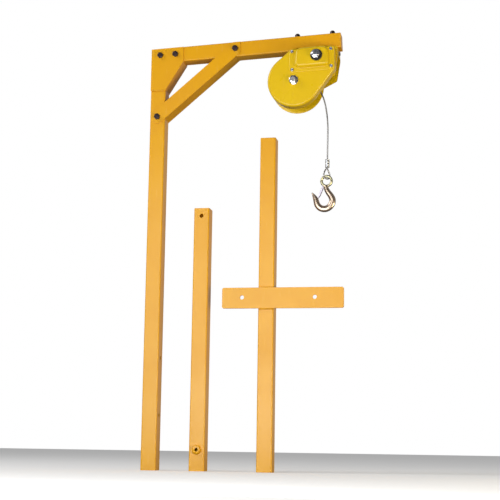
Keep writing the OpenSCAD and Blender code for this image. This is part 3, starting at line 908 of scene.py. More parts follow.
class Repeater(Tree):
    """Puts one tool piece at every point, each turned a little at random round Y."""

    def __init__(self) -> None:
        """Builds the tree."""
        super().__init__("repeat_at_points", {
            "Tool": "NodeSocketObject", "Scale": "NodeSocketFloat", "Turn": "NodeSocketFloat",
            "Seed": "NodeSocketInt", "Finish": "NodeSocketMaterial"})
        tool = self.node("GeometryNodeObjectInfo", {"transform_space": "ORIGINAL"},
                         {"Object": self.given("Tool")})
        turn = self.node("FunctionNodeRandomValue", {"data_type": "FLOAT"},
                         {2: 0.0, 3: self.given("Turn"), "Seed": self.given("Seed")})
        spin = self.node("ShaderNodeCombineXYZ", None, {"Y": turn.outputs[1]})
        placed = self.node("GeometryNodeInstanceOnPoints", None, {
            "Points": self.given("Geometry"), "Instance": tool.outputs["Geometry"],
            "Rotation": spin.outputs[0], "Scale": self.given("Scale")})
        self.finish_with(placed.outputs[0])

    def at(self, name: str, spots: Sequence[Vector], tool: bpy.types.Object, slot: Slot,
           turn: float = 0.0, seed: int = 3) -> bpy.types.Object:
        """Repeats a tool piece.

        Args:
            name: Name of the result.
            spots: Places in millimetres.
            tool: Piece made round the origin, which is used up.
            slot: Material slot of the result.
            turn: Largest turn round Y in radians.
            seed: Seed of the turns.

        Returns:
            The repeated pieces as one mesh.
        """
        mesh = bpy.data.meshes.new(name + "_spots")
        mesh.from_pydata([s * MM for s in spots], [], [])
        result = self.run(name, piece_of(name + "_spots", mesh), {
            "Tool": tool, "Scale": 1.0, "Turn": turn, "Seed": seed, "Finish": finish_of(slot)})
        bpy.data.objects.remove(tool)
        smooth(result.data)
        return result


class WeldBead(Tree):
    """Overlapping ripples of weld metal along a path."""

    def __init__(self) -> None:
        """Builds the tree."""
        super().__init__("weld_bead", {
            "Radius": "NodeSocketFloat", "Step": "NodeSocketFloat", "Unevenness": "NodeSocketFloat",
            "Seed": "NodeSocketInt", "Finish": "NodeSocketMaterial"})
        path = self.node("GeometryNodeMeshToCurve", None, {0: self.given("Geometry")})
        spaced = self.node("GeometryNodeResampleCurve", {"mode": "LENGTH"},
                           {"Curve": path.outputs[0], "Length": self.given("Step")})
        ripple = self.node("GeometryNodeMeshIcoSphere", None,
                           {"Radius": self.given("Radius"), "Subdivisions": 2})
        low = self.node("ShaderNodeMath", {"operation": "SUBTRACT"}, {0: 1.0, 1: self.given("Unevenness")})
        size = self.node("FunctionNodeRandomValue", {"data_type": "FLOAT"},
                         {2: low.outputs[0], 3: 1.0, "Seed": self.given("Seed")})
        placed = self.node("GeometryNodeInstanceOnPoints", None, {
            "Points": spaced.outputs[0], "Instance": ripple.outputs[0], "Scale": size.outputs[1]})
        self.finish_with(placed.outputs[0])

    def along(self, name: str, paths: Sequence[Sequence[Vector]], radius: float, slot: Slot,
              seed: int = 5) -> bpy.types.Object:
        """Welds along paths and melts the ripples into one skin.

        Args:
            name: Name of the piece.
            paths: Lines of points in millimetres.
            radius: Radius of the bead.
            slot: Material slot of the bead.
            seed: Seed of the uneven ripples.

        Returns:
            The bead.
        """
        points = [p * MM for path in paths for p in path]
        edges, start = [], 0
        for path in paths:
            edges += [(start + k, start + k + 1) for k in range(len(path) - 1)]
            start += len(path)
        mesh = bpy.data.meshes.new(name + "_path")
        mesh.from_pydata(points, edges, [])
        bead = self.run(name, piece_of(name + "_path", mesh), {
            "Radius": radius * MM, "Step": radius * 0.75 * MM, "Unevenness": 0.22, "Seed": seed,
            "Finish": finish_of(slot)})
        melt = bead.modifiers.new("melt", "REMESH")
        melt.mode = "VOXEL"
        melt.voxel_size = radius * 0.16 * MM
        settle = bead.modifiers.new("settle", "SMOOTH")
        settle.factor = 0.5
        settle.iterations = 2
        bead = settled(bead, name)
        smooth(bead.data, 80)
        return bead


class RopeWinding(Tree):
    """A fluted rope that follows a path with a steady lay."""

    def __init__(self) -> None:
        """Builds the tree."""
        super().__init__("rope_winding", {
            "Radius": "NodeSocketFloat", "Groove": "NodeSocketFloat", "Lay": "NodeSocketFloat",
            "Finish": "NodeSocketMaterial"})
        path = self.node("GeometryNodeMeshToCurve", None, {0: self.given("Geometry")})
        run = self.node("GeometryNodeSplineParameter")
        turns = self.node("ShaderNodeMath", {"operation": "DIVIDE"},
                          {0: run.outputs["Length"], 1: self.given("Lay")})
        tilt = self.node("ShaderNodeMath", {"operation": "MULTIPLY"},
                         {0: turns.outputs[0], 1: 2 * math.pi})
        twisted = self.node("GeometryNodeSetCurveTilt", None,
                            {"Curve": path.outputs[0], "Tilt": tilt.outputs[0]})
        circle = self.node("GeometryNodeCurvePrimitiveCircle", None,
                           {"Resolution": 18, "Radius": self.given("Radius")})
        number = self.node("GeometryNodeInputIndex")
        third = self.node("ShaderNodeMath", {"operation": "MODULO"}, {0: number.outputs[0], 1: 3.0})
        low = self.node("ShaderNodeMath", {"operation": "LESS_THAN"}, {0: third.outputs[0], 1: 0.5})
        depth = self.node("ShaderNodeMath", {"operation": "MULTIPLY"},
                          {0: low.outputs[0], 1: self.given("Groove")})
        inwards = self.node("ShaderNodeMath", {"operation": "MULTIPLY"}, {0: depth.outputs[0], 1: -1.0})
        spot = self.node("GeometryNodeInputPosition")
        outwards = self.node("ShaderNodeVectorMath", {"operation": "NORMALIZE"}, {0: spot.outputs[0]})
        shift = self.node("ShaderNodeVectorMath", {"operation": "SCALE"},
                          {0: outwards.outputs[0], "Scale": inwards.outputs[0]})
        fluted = self.node("GeometryNodeSetPosition", None,
                           {"Geometry": circle.outputs[0], "Offset": shift.outputs[0]})
        skin = self.node("GeometryNodeCurveToMesh", None, {
            "Curve": twisted.outputs[0], "Profile Curve": fluted.outputs[0], "Fill Caps": True})
        self.finish_with(skin.outputs[0])

    def wound(self, name: str, path: Sequence[Vector], diameter: float, slot: Slot) -> bpy.types.Object:
        """Winds a rope along a path.

        Args:
            name: Name of the piece.
            path: Centre line in millimetres.
            diameter: Outside diameter of the rope.
            slot: Material slot of the rope.

        Returns:
            The rope piece.
        """
        mesh = bpy.data.meshes.new(name + "_path")
        mesh.from_pydata([p * MM for p in path], [(k, k + 1) for k in range(len(path) - 1)], [])
        rope = self.run(name, piece_of(name + "_path", mesh), {
            "Radius": diameter / 2 * MM, "Groove": diameter * 0.13 * MM, "Lay": diameter * 6.4 * MM,
            "Finish": finish_of(slot)})
        smooth(rope.data, 80)
        return rope


# ---- Sub-assemblies ----


@dataclass
class SubAssembly:
    """What every sub-assembly does with its pieces."""

    done: list[str] = field(default_factory=list, init=False)

    def keep(self, slot: Slot, *nodes: str) -> None:
        """Gives CAD nodes their finish and keeps their shape."""
        for node in nodes:
            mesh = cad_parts[node].data
            mesh.materials.clear()
            mesh.materials.append(finish_of(slot))
            self.done.append(node)

    def place(self, piece: bpy.types.Object, body: str, slot: Slot, *nodes: str) -> bpy.types.Object:
        """Dresses a finished piece and hangs it on its body.

        Args:
            piece: Plain mesh object at the origin.
            body: CAD body that it rides on.
            slot: Its material slot.
            nodes: CAD nodes that it stands for.

        Returns:
            The piece.
        """
        piece.data.materials.clear()
        piece.data.materials.append(finish_of(slot))
        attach(piece, body)
        if nodes:
            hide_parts(*nodes)
        self.done.append(piece.name)
        return piece


@dataclass(frozen=True)
class SoftBox:
    """A large area lamp that faces a target."""

    place: Colour
    target: Colour
    width: float
    height: float
    radiance: float
    tint: Colour = (1.0, 1.0, 1.0)

    def build(self, name: str) -> None:
        """Makes the lamp, hidden from the camera itself."""
        data = bpy.data.lights.new(name, "AREA")
        data.color = self.tint
        data.shape = "RECTANGLE"
        data.size = self.width
        data.size_y = self.height
        data.energy = self.radiance * math.pi * self.width * self.height
        lamp = bpy.data.objects.new(name, data)
        lamp.location = self.place
        aim = Vector(self.target) - Vector(self.place)
        lamp.rotation_euler = aim.to_track_quat("-Z", "Y").to_euler()
        lamp.visible_camera = False
        bpy.context.scene.collection.objects.link(lamp)


@dataclass
class Studio:
    """Camera, floor, lamps and the white surroundings."""

    eye: Colour = (1.078, -3.859, 0.080)
    yaw: float = 11.15
    pitch: float = 9.13
    roll: float = 0.87
    lens: float = 88.06
    sensor: float = 36.0
    floor_half: float = 14.0
    front_light: float = 0.10
    back_light: float = 0.42
    floor_glow: float = 0.16
    boxes: tuple[SoftBox, ...] = (
        SoftBox((-0.4, -3.1, 0.82), (0.15, 0.0, 0.82), 2.1, 1.56, 4.3),
        SoftBox((-3.2, -1.9, 3.4), (0.3, 0.0, 0.9), 2.0, 2.0, 6.6),
        SoftBox((0.3, -1.9, 0.02), (0.3, 0.0, 1.15), 1.6, 0.9, 4.2),
        SoftBox((2.5, -1.2, 0.1), (0.2, 0.0, 1.15), 1.4, 1.0, 13.0, (1.0, 0.86, 0.60)),
    )

    def camera(self) -> None:
        """Makes the camera from its place and its three angles."""
        yaw, pitch, roll = (math.radians(a) for a in (self.yaw, self.pitch, self.roll))
        level = Vector((-math.sin(yaw), math.cos(yaw), 0))
        side = Vector((math.cos(yaw), math.sin(yaw), 0))
        view = level * math.cos(pitch) + UP * math.sin(pitch)
        above = UP * math.cos(pitch) - level * math.sin(pitch)
        right = side * math.cos(roll) + above * math.sin(roll)
        top = above * math.cos(roll) - side * math.sin(roll)
        data = bpy.data.cameras.new("camera")
        data.sensor_width = self.sensor
        data.lens = self.lens
        data.clip_start = 0.05
        data.clip_end = 60
        camera = bpy.data.objects.new("camera", data)
        turn = Matrix((right, top, -view)).transposed().to_4x4()
        camera.matrix_world = Matrix.Translation(self.eye) @ turn
        bpy.context.scene.collection.objects.link(camera)
        bpy.context.scene.camera = camera

    def floor(self) -> None:
        """Makes the plain pale floor."""
        half = self.floor_half
        mesh = bpy.data.meshes.new("floor")
        corners = [(-half, -half, 0), (half, -half, 0), (half, half, 0), (-half, half, 0)]
        mesh.from_pydata(corners, [], [(0, 1, 2, 3)])
        floor = piece_of("floor", mesh)
        mesh.materials.append(self.floor_paint())

    def floor_paint(self) -> bpy.types.Material:
        """A floor that looks nearly white and throws little light back up at the object."""
        paint = Paint("pale_floor")
        paint.feed(Base_Color=(0.93, 0.93, 0.93, 1), Roughness=0.9, Specular_IOR_Level=0.0,
                   Emission_Color=(1, 1, 1, 1), Emission_Strength=self.floor_glow)
        dull = paint.node("ShaderNodeBsdfDiffuse", None, {"Color": (0.22, 0.22, 0.22, 1)})
        seen = paint.node("ShaderNodeLightPath", out="Is Camera Ray")
        mixed = paint.node("ShaderNodeMixShader", None, {0: seen, 1: dull,
                                                         2: Signal(paint, paint.shader.outputs[0])})
        paint.tree.links.new(mixed.socket, paint.tree.nodes["Material Output"].inputs["Surface"])
        return paint.material

    def world(self) -> None:
        """Makes surroundings that look white and light the object a little less strongly."""
        world = bpy.data.worlds.new("surroundings")
        world.use_nodes = True
        bpy.context.scene.world = world
        nodes, links = world.node_tree.nodes, world.node_tree.links
        lit = nodes["Background"]
        lit.inputs["Color"].default_value = (1, 1, 1, 1)
        place = nodes.new("ShaderNodeTexCoord")
        parts = nodes.new("ShaderNodeSeparateXYZ")
        links.new(place.outputs["Generated"], parts.inputs[0])
        shaded = nodes.new("ShaderNodeMapRange")
        for key, value in (("From Min", -0.35), ("From Max", 0.35), ("To Min", self.front_light),
                           ("To Max", self.back_light)):
            shaded.inputs[key].default_value = value
        links.new(parts.outputs["Y"], shaded.inputs["Value"])
        links.new(shaded.outputs[0], lit.inputs["Strength"])
        seen = nodes.new("ShaderNodeBackground")
        seen.inputs["Color"].default_value = (1, 1, 1, 1)
        seen.inputs["Strength"].default_value = 1.0
        path = nodes.new("ShaderNodeLightPath")
        mix = nodes.new("ShaderNodeMixShader")
        links.new(path.outputs["Is Camera Ray"], mix.inputs[0])
        links.new(lit.outputs[0], mix.inputs[1])
        links.new(seen.outputs[0], mix.inputs[2])
        links.new(mix.outputs[0], nodes["World Output"].inputs["Surface"])

    def build(self) -> None:
        """Sets up the whole studio."""
        self.camera()
        self.floor()
        self.world()
        for number, box in enumerate(self.boxes):
            box.build(f"softbox_{number}")
        bpy.context.scene.view_settings.view_transform = "Standard"


@dataclass
class FreeRope(SubAssembly):
    """The rope that hangs from the drum, its pressed ferrule and the loop in the hook's eye."""

    rope_y: float = -6.0
    route: tuple[Flat, ...] = (
        (524.6, 1282.1), (531.3, 1267.7), (538, 1253.3), (544.6, 1239), (551, 1225),
        (555.6, 1214), (559.5, 1202), (563.4, 1186), (566.3, 1170), (568.6, 1153), (570.2, 1136),
        (571.1, 1118), (571.4, 1100), (571.3, 1080), (571, 1055), (570.7, 1030), (570.5, 1005))
    ferrule_x: float = 570.4
    ferrule_low: float = 978.0
    ferrule_high: float = 1005.0
    ferrule_r: float = 7.2
    loop_half: tuple[Flat, ...] = (
        (2.8, 977.8), (2.9, 975.4), (6.4, 969), (10.4, 963), (13, 957), (13.6, 951),
        (11.6, 945.4), (6.8, 942.1))
    loop_low: float = 941.0
    loop_x: float = 568.6
    loop_turn: float = 52.0
    rope: LaidRope = LaidRope()

    def free_length(self) -> bpy.types.Object:
        """The laid rope from the drum to the ferrule; keeps its path and length."""
        knots = [Vector((x, self.rope_y, z)) for x, z in self.route]
        line = spline([*knots, Vector((self.ferrule_x, self.rope_y, self.ferrule_high - 4))], 1.0)
        piece = self.rope.along("hanging_rope", line)
        self.place(piece, "rope", Slot.ROPE, "rope_free")
        self.path = [tuple(p * MM) for p in line]
        self.length = length_of(line) * MM
        return piece

    def ferrule(self) -> bpy.types.Object:
        """The ferrule: a sleeve with three pressed bands and rounded ends."""
        r, low, high = self.ferrule_r, self.ferrule_low, self.ferrule_high
        third = (high - low) / 3
        profile = [(r - 2.4, low), (r - 0.9, low), (r - 0.2, low + 0.7)]
        for k in range(3):
            start = low + k * third
            profile += [(r, start + 1.4), (r, start + 0.38 * third), (r - 0.55, start + 0.52 * third),
                        (r - 0.55, start + 0.72 * third), (r, start + 0.86 * third)]
        profile += [(r - 0.2, high - 0.7), (r - 0.9, high), (r - 2.4, high)]
        centre = Vector((self.ferrule_x, self.rope_y, 0))
        return self.place(Turned(centre, UP, 40).solid("rope_sleeve", profile), "rope",
                          Slot.FERRULE, "rope_ferrule")

    def loop(self) -> bpy.types.Object:
        """The rope's loop through the hook's eye."""
        turn = math.radians(self.loop_turn)
        right = [(s, z) for s, z in self.loop_half]
        left = [(-s, z) for s, z in reversed(self.loop_half)]
        knots = [Vector((self.loop_x + s * math.cos(turn), self.rope_y + s * math.sin(turn), z))
                 for s, z in [*right, (0.0, self.loop_low), *left]]
        return self.place(self.rope.along("hook_loop", spline(knots, 1.0)), "rope",
                          Slot.ROPE, "rope_loop")

    def build(self) -> None:
        rope = self.free_length()
        pieces = [self.ferrule(), self.loop()]


@dataclass
class LoadHook(SubAssembly):
    """The forged hook with its eye, sheet latch, pin and spring."""

    y: float = -6.0
    eye: Flat = (568.0, 933.5)
    eye_r: float = 20.7
    wire_r: float = 4.4
    throat: Flat = (559.5, 873.5)
    spine: tuple[tuple[float, float, float, float], ...] = (
        (7, 42, 7.2, 6), (8.8, 33, 8.2, 6.2), (14.2, 23, 9, 7), (21.8, 12.5, 9.8, 7.5),
        (27.8, 0, 10.6, 8), (27, -12.5, 11, 8), (20, -24, 11, 8), (9, -31, 10.8, 8),
        (-3.5, -31.4, 10.6, 8), (-14, -26.5, 10.4, 7.6), (-21.5, -16.5, 10, 7.4),
        (-25.2, -4, 9.2, 6.8), (-28.7, 5.5, 7.6, 6), (-33, 13.5, 5.2, 5), (-38, 21, 2.2, 2.4))
    pin: Flat = (556.5, 914.0)
    pin_r: float = 1.5
    lug_half: float = 2.6
    skin: float = 0.62

    def bow(self) -> bpy.types.Object:
        """The hook's bow: a swept oval that swells at the bottom and tapers to the tip."""
        line = spline([Vector((x, 0, z)) for x, z, _, _ in self.spine], 2.0)
        rings = []
        for i, point in enumerate(line):
            along = (line[min(i + 1, len(line) - 1)] - line[max(i - 1, 0)]).normalized()
            side = Vector((along.z, 0, -along.x))
            rings.append(self.oval(point, side, *self.size_at(point)))
        tip, before = line[-1], line[-2]
        along = (tip - before).normalized()
        side = Vector((along.z, 0, -along.x))
        _, _, ra, rb = self.spine[-1]
        for k in (1, 2, 3):
            shrink = math.cos(math.pi / 2 * k / 3.2)
            out = along * ra * 0.9 * math.sin(math.pi / 2 * k / 3.2)
            rings.append(self.oval(tip + out, side, ra * shrink, rb * shrink))
        return loft("bow", rings)

    def size_at(self, point: Vector) -> Flat:
        """Half height and half width of the bow at a point of its line."""
        knots = [Vector((x, 0, z)) for x, z, _, _ in self.spine]
        a, b = sorted(sorted(range(len(knots)), key=lambda k: (knots[k] - point).length)[:2])
        run = (knots[b] - knots[a]).length
        mix = min(1.0, max(0.0, (point - knots[a]).length / run))
        sizes = [self.spine[a][c] * (1 - mix) + self.spine[b][c] * mix for c in (2, 3)]
        return sizes[0], sizes[1]

    def oval(self, point: Vector, side: Vector, high: float, wide: float) -> list[Vector]:
        """An elliptic ring of the bow."""
        ring = []
        for k in range(24):
            angle = 2 * math.pi * k / 24
            ring.append(point + side * high * math.cos(angle) + Vector((0, wide * math.sin(angle), 0)))
        return ring

    def forging(self) -> bpy.types.Object:
        """Eye, bow and latch lug melted into one forged skin."""
        centre = Vector((self.eye[0], self.y, self.eye[1]))
        middle = self.eye_r - self.wire_r
        section = [(middle + self.wire_r * math.cos(a), self.wire_r * math.sin(a))
                   for a in (2 * math.pi * k / 20 for k in range(20))]
        eye = Turned(centre, BACKWARDS, 64).hoop("eye", section)
        bow = self.bow()
        bow.data.transform(Matrix.Translation(Vector((self.throat[0], self.y, self.throat[1])) * MM))
        lug_at = Vector((self.pin[0], self.y, self.pin[1]))
        lug = Turned(lug_at, BACKWARDS, 24).solid(
            "lug", [(3.4, -self.lug_half), (4, -self.lug_half + 0.5), (4, self.lug_half - 0.5),
                    (3.4, self.lug_half)])
        root = Turned(lug_at + Vector((5, 0, 0)), BACKWARDS, 24).solid(
            "root", [(4, -self.lug_half), (4, self.lug_half)])
        hook = joined("lifting_hook", [eye, bow, lug, root])
        melt = hook.modifiers.new("melt", "REMESH")
        melt.mode = "VOXEL"
        melt.voxel_size = self.skin * MM
        settle = hook.modifiers.new("settle", "SMOOTH")
        settle.factor = 0.5
        settle.iterations = 5
        hook = settled(hook, "lifting_hook")
        smooth(hook.data, 80)
        return self.place(hook, "hook", Slot.ZINC, "hook")

    def build(self) -> None:
        """Makes the hook's pieces."""
        self.forging()
        self.place(eased("hook_latch", "safety_latch", 0.35), "latch", Slot.LATCH, "hook_latch")
        at = Vector((self.pin[0], self.y, self.pin[1]))
        rivet = Turned(at, BACKWARDS, 24).solid("latch_rivet", [
            (1.1, -6.8), (self.pin_r, -6.4), (self.pin_r, 6.4), (1.1, 6.8)])
        self.place(rivet, "hook", Slot.STEEL, "latch_pin")
        turns = [Vector((at.x + 2.2 * math.cos(a), self.y + 2.95 + 0.5 * a / 12.6, at.z + 2.2 * math.sin(a)))
                 for a in (12.6 * k / 48 for k in range(49))]
        self.place(coil("latch_coil", turns, 0.24), "hook", Slot.STEEL, "latch_spring")


@dataclass
class FrameSteel(SubAssembly):
    """Mast, boom, end cap, corner gusset and diagonal brace, with their weld beads."""

    half: float = 25.4
    gusset_foot: float = 1255.5
    cheek: float = 28.5
    boom_length: float = 640.0

    def welds(self, beads: WeldBead) -> None:
        """Runs the gusset's foot and the end cap's rim with weld."""
        foot = [[Vector((x, s * (self.cheek - 0.8), self.gusset_foot - 0.6))
                 for x in (-self.half + 3.0, self.half - 3.0)] for s in (-1, 1)]
        self.place(beads.along("gusset_weld", foot, 2.9, Slot.FRAME_PAINT), "davit", Slot.FRAME_PAINT)
        u = self.boom_length - 3.2
        inset = self.half - 0.7
        rim = [BOOM.at(u, -self.half + inset * b, inset * a)
               for a, b in ((-0.86, 1), (0.86, 1), (1, 0.86), (1, -0.86), (0.86, -1), (-0.86, -1),
                            (-1, -0.86), (-1, 0.86), (-0.86, 1))]
        self.place(beads.along("end_cap_weld", [rim], 1.1, Slot.FRAME_PAINT, seed=8), "davit",
                   Slot.FRAME_PAINT)

    def build(self, beads: WeldBead) -> None:
        """Makes the frame's pieces."""
        for node, name, width, bend in (
                ("mast_tube", "mast", 0.5, 0.0), ("boom_tube", "boom", 0.5, 0.0),
                ("boom_end_cap", "boom_cap", 0.8, 0.0), ("corner_gusset", "gusset", 0.7, 2.8),
                ("diagonal_brace", "brace", 0.7, 2.8)):
            self.place(eased(node, name, width, bend=bend), "davit", Slot.FRAME_PAINT, node)
        self.welds(beads)


@dataclass
class FrameFasteners(SubAssembly):
    """M12 cross bolts of the frame and M10 bolts of the winch, with washers and nuts."""

    cheek: float = 28.5
    head_r: float = 10.4
    head_h: float = 7.5
    nut_h: float = 10.0
    washer_t: float = 2.5
    washer_r: float = 12.0
    bolt_r: float = 6.0
    brace_foot: float = 1164.0
    gusset_u: tuple[float, float] = (30.0, 82.0)
    gusset_w: float = -25.0
    brace_u: float = 287.0
    brace_w: float = -24.0
    winch_u: tuple[float, float] = (494.0, 611.0)
    winch_head_r: float = 9.2
    winch_head_h: float = 7.0
    winch_nut_h: float = 11.0
    winch_bolt_r: float = 5.0
    winch_bolt_end: float = 3.0
    winch_bore_r: float = 5.5
    winch_washer_r: float = 10.5
    winch_washer_t: float = 2.0
    tube: float = 50.8
    plate: float = 4.0

    def frame_spots(self) -> list[Vector]:
        """Axes of the four cross bolts."""
        return [*(BOOM.at(u, self.gusset_w) for u in self.gusset_u),
                Vector((0, 0, self.brace_foot)), BOOM.at(self.brace_u, self.brace_w)]

    def cross_bolts(self, repeat: Repeater) -> None:
        """Bolts, washers and nuts through mast, boom, gusset and brace."""
        origin = Vector((0, 0, 0))
        front, back = Turned(origin, FORWARDS), Turned(origin, BACKWARDS)
        end = self.cheek + self.washer_t + self.nut_h + 4
        bolt = joined("bolt", [
            front.hexagon("head", self.head_r, self.cheek, self.cheek + self.head_h, both=False,
                          recess=(self.bolt_r, 0.6)),
            back.threaded("shank", self.bolt_r, -self.cheek - 0.5, end, 18.0)])
        self.place(repeat.at("frame_bolt_set", self.frame_spots(), bolt, Slot.BLACK_STEEL, 1.0),
                   "davit", Slot.BLACK_STEEL, "frame_bolts")
        rim = [(self.bolt_r + 0.5, 0.0), (self.washer_r - 0.4, 0.0), (self.washer_r, 0.5),
               (self.washer_r, self.washer_t - 0.5), (self.washer_r - 0.4, self.washer_t),
               (self.bolt_r + 0.5, self.washer_t)]
        washer = back.hoop("washer", [(r, self.cheek + t) for r, t in rim])
        self.place(repeat.at("frame_washer_set", self.frame_spots(), washer, Slot.BLACK_STEEL),
                   "davit", Slot.BLACK_STEEL, "frame_washers")
        seat = self.cheek + self.washer_t
        nut = back.hexagon("nut", self.head_r, seat, seat + self.nut_h)
        self.place(repeat.at("frame_nut_set", self.frame_spots(), nut, Slot.BLACK_STEEL, 1.0, 11),
                   "davit", Slot.BLACK_STEEL, "frame_nuts")

    def winch_bolts(self, repeat: Repeater) -> None:
        """Bolts headed below the winch's plate, with washers and nuts on top of the boom."""
        spots = [BOOM.at(u, 0) for u in self.winch_u]
        axis = Turned(Vector((0, 0, 0)), BOOM.up())
        seat = self.tube + self.plate
        below = Turned(Vector((0, 0, 0)), -BOOM.up())
        top = self.winch_washer_t + self.winch_nut_h + self.winch_bolt_end
        bolt = joined("bolt", [
            below.hexagon("head", self.winch_head_r, seat, seat + self.winch_head_h, both=False,
                          recess=(self.winch_bolt_r, 0.5)),
            axis.threaded("shank", self.winch_bolt_r, -seat - 0.5, top, 18.0, 1.5)])
        self.place(repeat.at("winch_bolt_set", spots, bolt, Slot.BLACK_STEEL), "davit",
                   Slot.BLACK_STEEL, "winch_bolts")
        t, r, bore = self.winch_washer_t, self.winch_washer_r, self.winch_bore_r
        washer = axis.hoop("washer", [(bore, 0), (r - 0.4, 0), (r, 0.4), (r, t - 0.4), (r - 0.4, t),
                                      (bore, t)])
        self.place(repeat.at("winch_washer_set", spots, washer, Slot.BLACK_STEEL), "davit",
                   Slot.BLACK_STEEL, "winch_washers")
        nut = axis.hexagon("nut", self.winch_head_r, t, t + self.winch_nut_h)
        self.place(repeat.at("winch_nut_set", spots, nut, Slot.BLACK_STEEL), "davit",
                   Slot.BLACK_STEEL, "winch_nuts")

    def build(self, repeat: Repeater) -> None:
        """Makes the fasteners."""
        self.cross_bolts(repeat)
        self.winch_bolts(repeat)


@dataclass
class GearCase(SubAssembly):
    """Winch frame, pressed gear cover and brake cap, with their screws."""

    drum: Flat = (487.0, -165.5)
    drive: Flat = (565.081, -90.886)
    cover: tuple[Circle, ...] = ((487, -165.5, 87.5), (606, -131, 16), (612, -69, 11), (486, -68, 10))
    flange: tuple[Circle, ...] = ((483, -131, 9.5), (611, -129, 11), (612, -71, 10.5), (484.5, -70, 9.5))
    case: tuple[Circle, ...] = ((506, -113, 13), (592, -113, 13), (583, -83, 22), (517, -83, 22))
    screws: tuple[Flat, ...] = ((484.5, -70), (612, -71), (483, -131), (611, -129))
    back_y: float = -40.0
    cover_y: float = -75.0
    flange_y: float = -77.0
    cap_y: float = -88.0
    sheet: float = 2.5
    cover_round: float = 7.0
    cap_round: float = 9.0

    def bore(self, spot: Flat, radius: float, low: float, high: float) -> bpy.types.Object:
        """A cutter along y."""
        centre = BOOM.at(*spot)
        return Turned(centre, BACKWARDS, 40).solid("bore", [(radius, low), (radius, high)])

    def gear_cover(self) -> None:
        """The big pressed cover over the drum gear."""
        c, t, r = self.cover, self.sheet, self.cover_round
        outer = [(c, i, self.cover_y + d) for i, d in reversed(rounding(r))]
        inner = [(c, t + i, self.cover_y + t + d) for i, d in rounding(r - t)]
        back = [(c, 0.0, self.back_y - 1.0), (c, 0.3, self.back_y), (c, t, self.back_y)]
        piece = pressed("gear_cover_pressing", [*outer, *back, *inner])
        holes = [self.bore(self.drum, 8.2, self.cover_y - 3, self.cover_y + 5),
                 self.bore(self.drive, 27.0, self.cover_y - 3, self.cover_y + 5)]
        holes += [self.bore(s, 3.0, self.cover_y - 3, self.cover_y + 5) for s in self.screws]
        self.place(drilled(piece, holes), "davit", Slot.WINCH_PAINT, "gear_cover")

    def brake_cap(self) -> None:
        """The raised cap over the brake, with its screw flange."""
        steps, r, t = 10, self.cap_round, self.sheet
        foot = [(self.flange, 0.0, self.cover_y), (self.flange, 0.2, self.flange_y + 1.2),
                (self.flange, 0.7, self.flange_y + 0.6), (self.flange, 1.5, self.flange_y + 0.2),
                (self.flange, 2.4, self.flange_y), (self.case, -2.6, self.flange_y),
                (self.case, -1.0, self.flange_y - 0.5), (self.case, -0.2, self.flange_y - 1.6)]
        crown = [(self.case, i, self.cap_y + d) for i, d in rounding(r)]
        inside = [(self.case, t + i, self.cap_y + t + d) for i, d in reversed(rounding(r - t))]
        rim = [(self.case, t, self.cover_y)]
        piece = pressed("brake_cap_pressing", [*reversed(crown), *reversed(foot), *rim,
                                               *reversed(inside)], steps)
        holes = [self.bore(self.drive, 19.4, self.cap_y - 3, self.cap_y + 6)]
        holes += [self.bore(s, 3.0, self.flange_y - 3, self.cover_y + 3) for s in self.screws]
        self.place(drilled(piece, holes), "davit", Slot.WINCH_PAINT, "brake_cap")

    def cap_screws(self, repeat: Repeater) -> None:
        """Socket screws at the cap's four corners."""
        tool = Turned(Vector((0, 0, 0)), FORWARDS, 24)
        face = -self.flange_y

        def socket(angle: float) -> float:
            """Radius of the hexagon socket in a direction."""
            return 2.8 * math.cos(math.pi / 6) / math.cos((angle % (math.pi / 3)) - math.pi / 6)

        rings = [tool.ring(3.0, face - 12), tool.ring(3.0, face), tool.ring(5.2, face),
                 tool.ring(5.4, face + 0.4), tool.ring(5.4, face + 3.2), tool.ring(4.9, face + 3.9),
                 tool.ring(4.2, face + 4.0), tool.ring(socket, face + 4.0), tool.ring(socket, face + 2)]
        screw = loft("screw", rings)
        spots = [BOOM.at(*s) for s in self.screws]
        self.place(repeat.at("cap_screw_set", spots, screw, Slot.CHROME, 1.0, 7), "davit",
                   Slot.CHROME, "cap_screws")

    def seal_ring(self) -> None:
        """The rubber ring round the drive."""
        axis = Turned(BOOM.at(*self.drive), BACKWARDS, 64)
        ring = axis.hoop("drive_seal", [(14.4, -91), (18.6, -91), (19.4, -90.2), (19.4, -85.5),
                                        (14.0, -85.5), (14.0, -90.5)])
        self.place(ring, "davit", Slot.RUBBER, "drive_seal_ring")

    def build(self, repeat: Repeater) -> None:
        """Makes the case's pieces."""
        self.place(eased("winch_frame", "winch_chassis", 0.6), "davit", Slot.WINCH_PAINT,
                   "winch_frame")
        self.gear_cover()
        self.brake_cap()
        self.cap_screws(repeat)
        self.seal_ring()
        self.keep(Slot.STEEL, "cover_posts")
        self.place(eased("frame_end_screw", "end_screw", 0.5), "davit", Slot.STEEL,
                   "frame_end_screw")


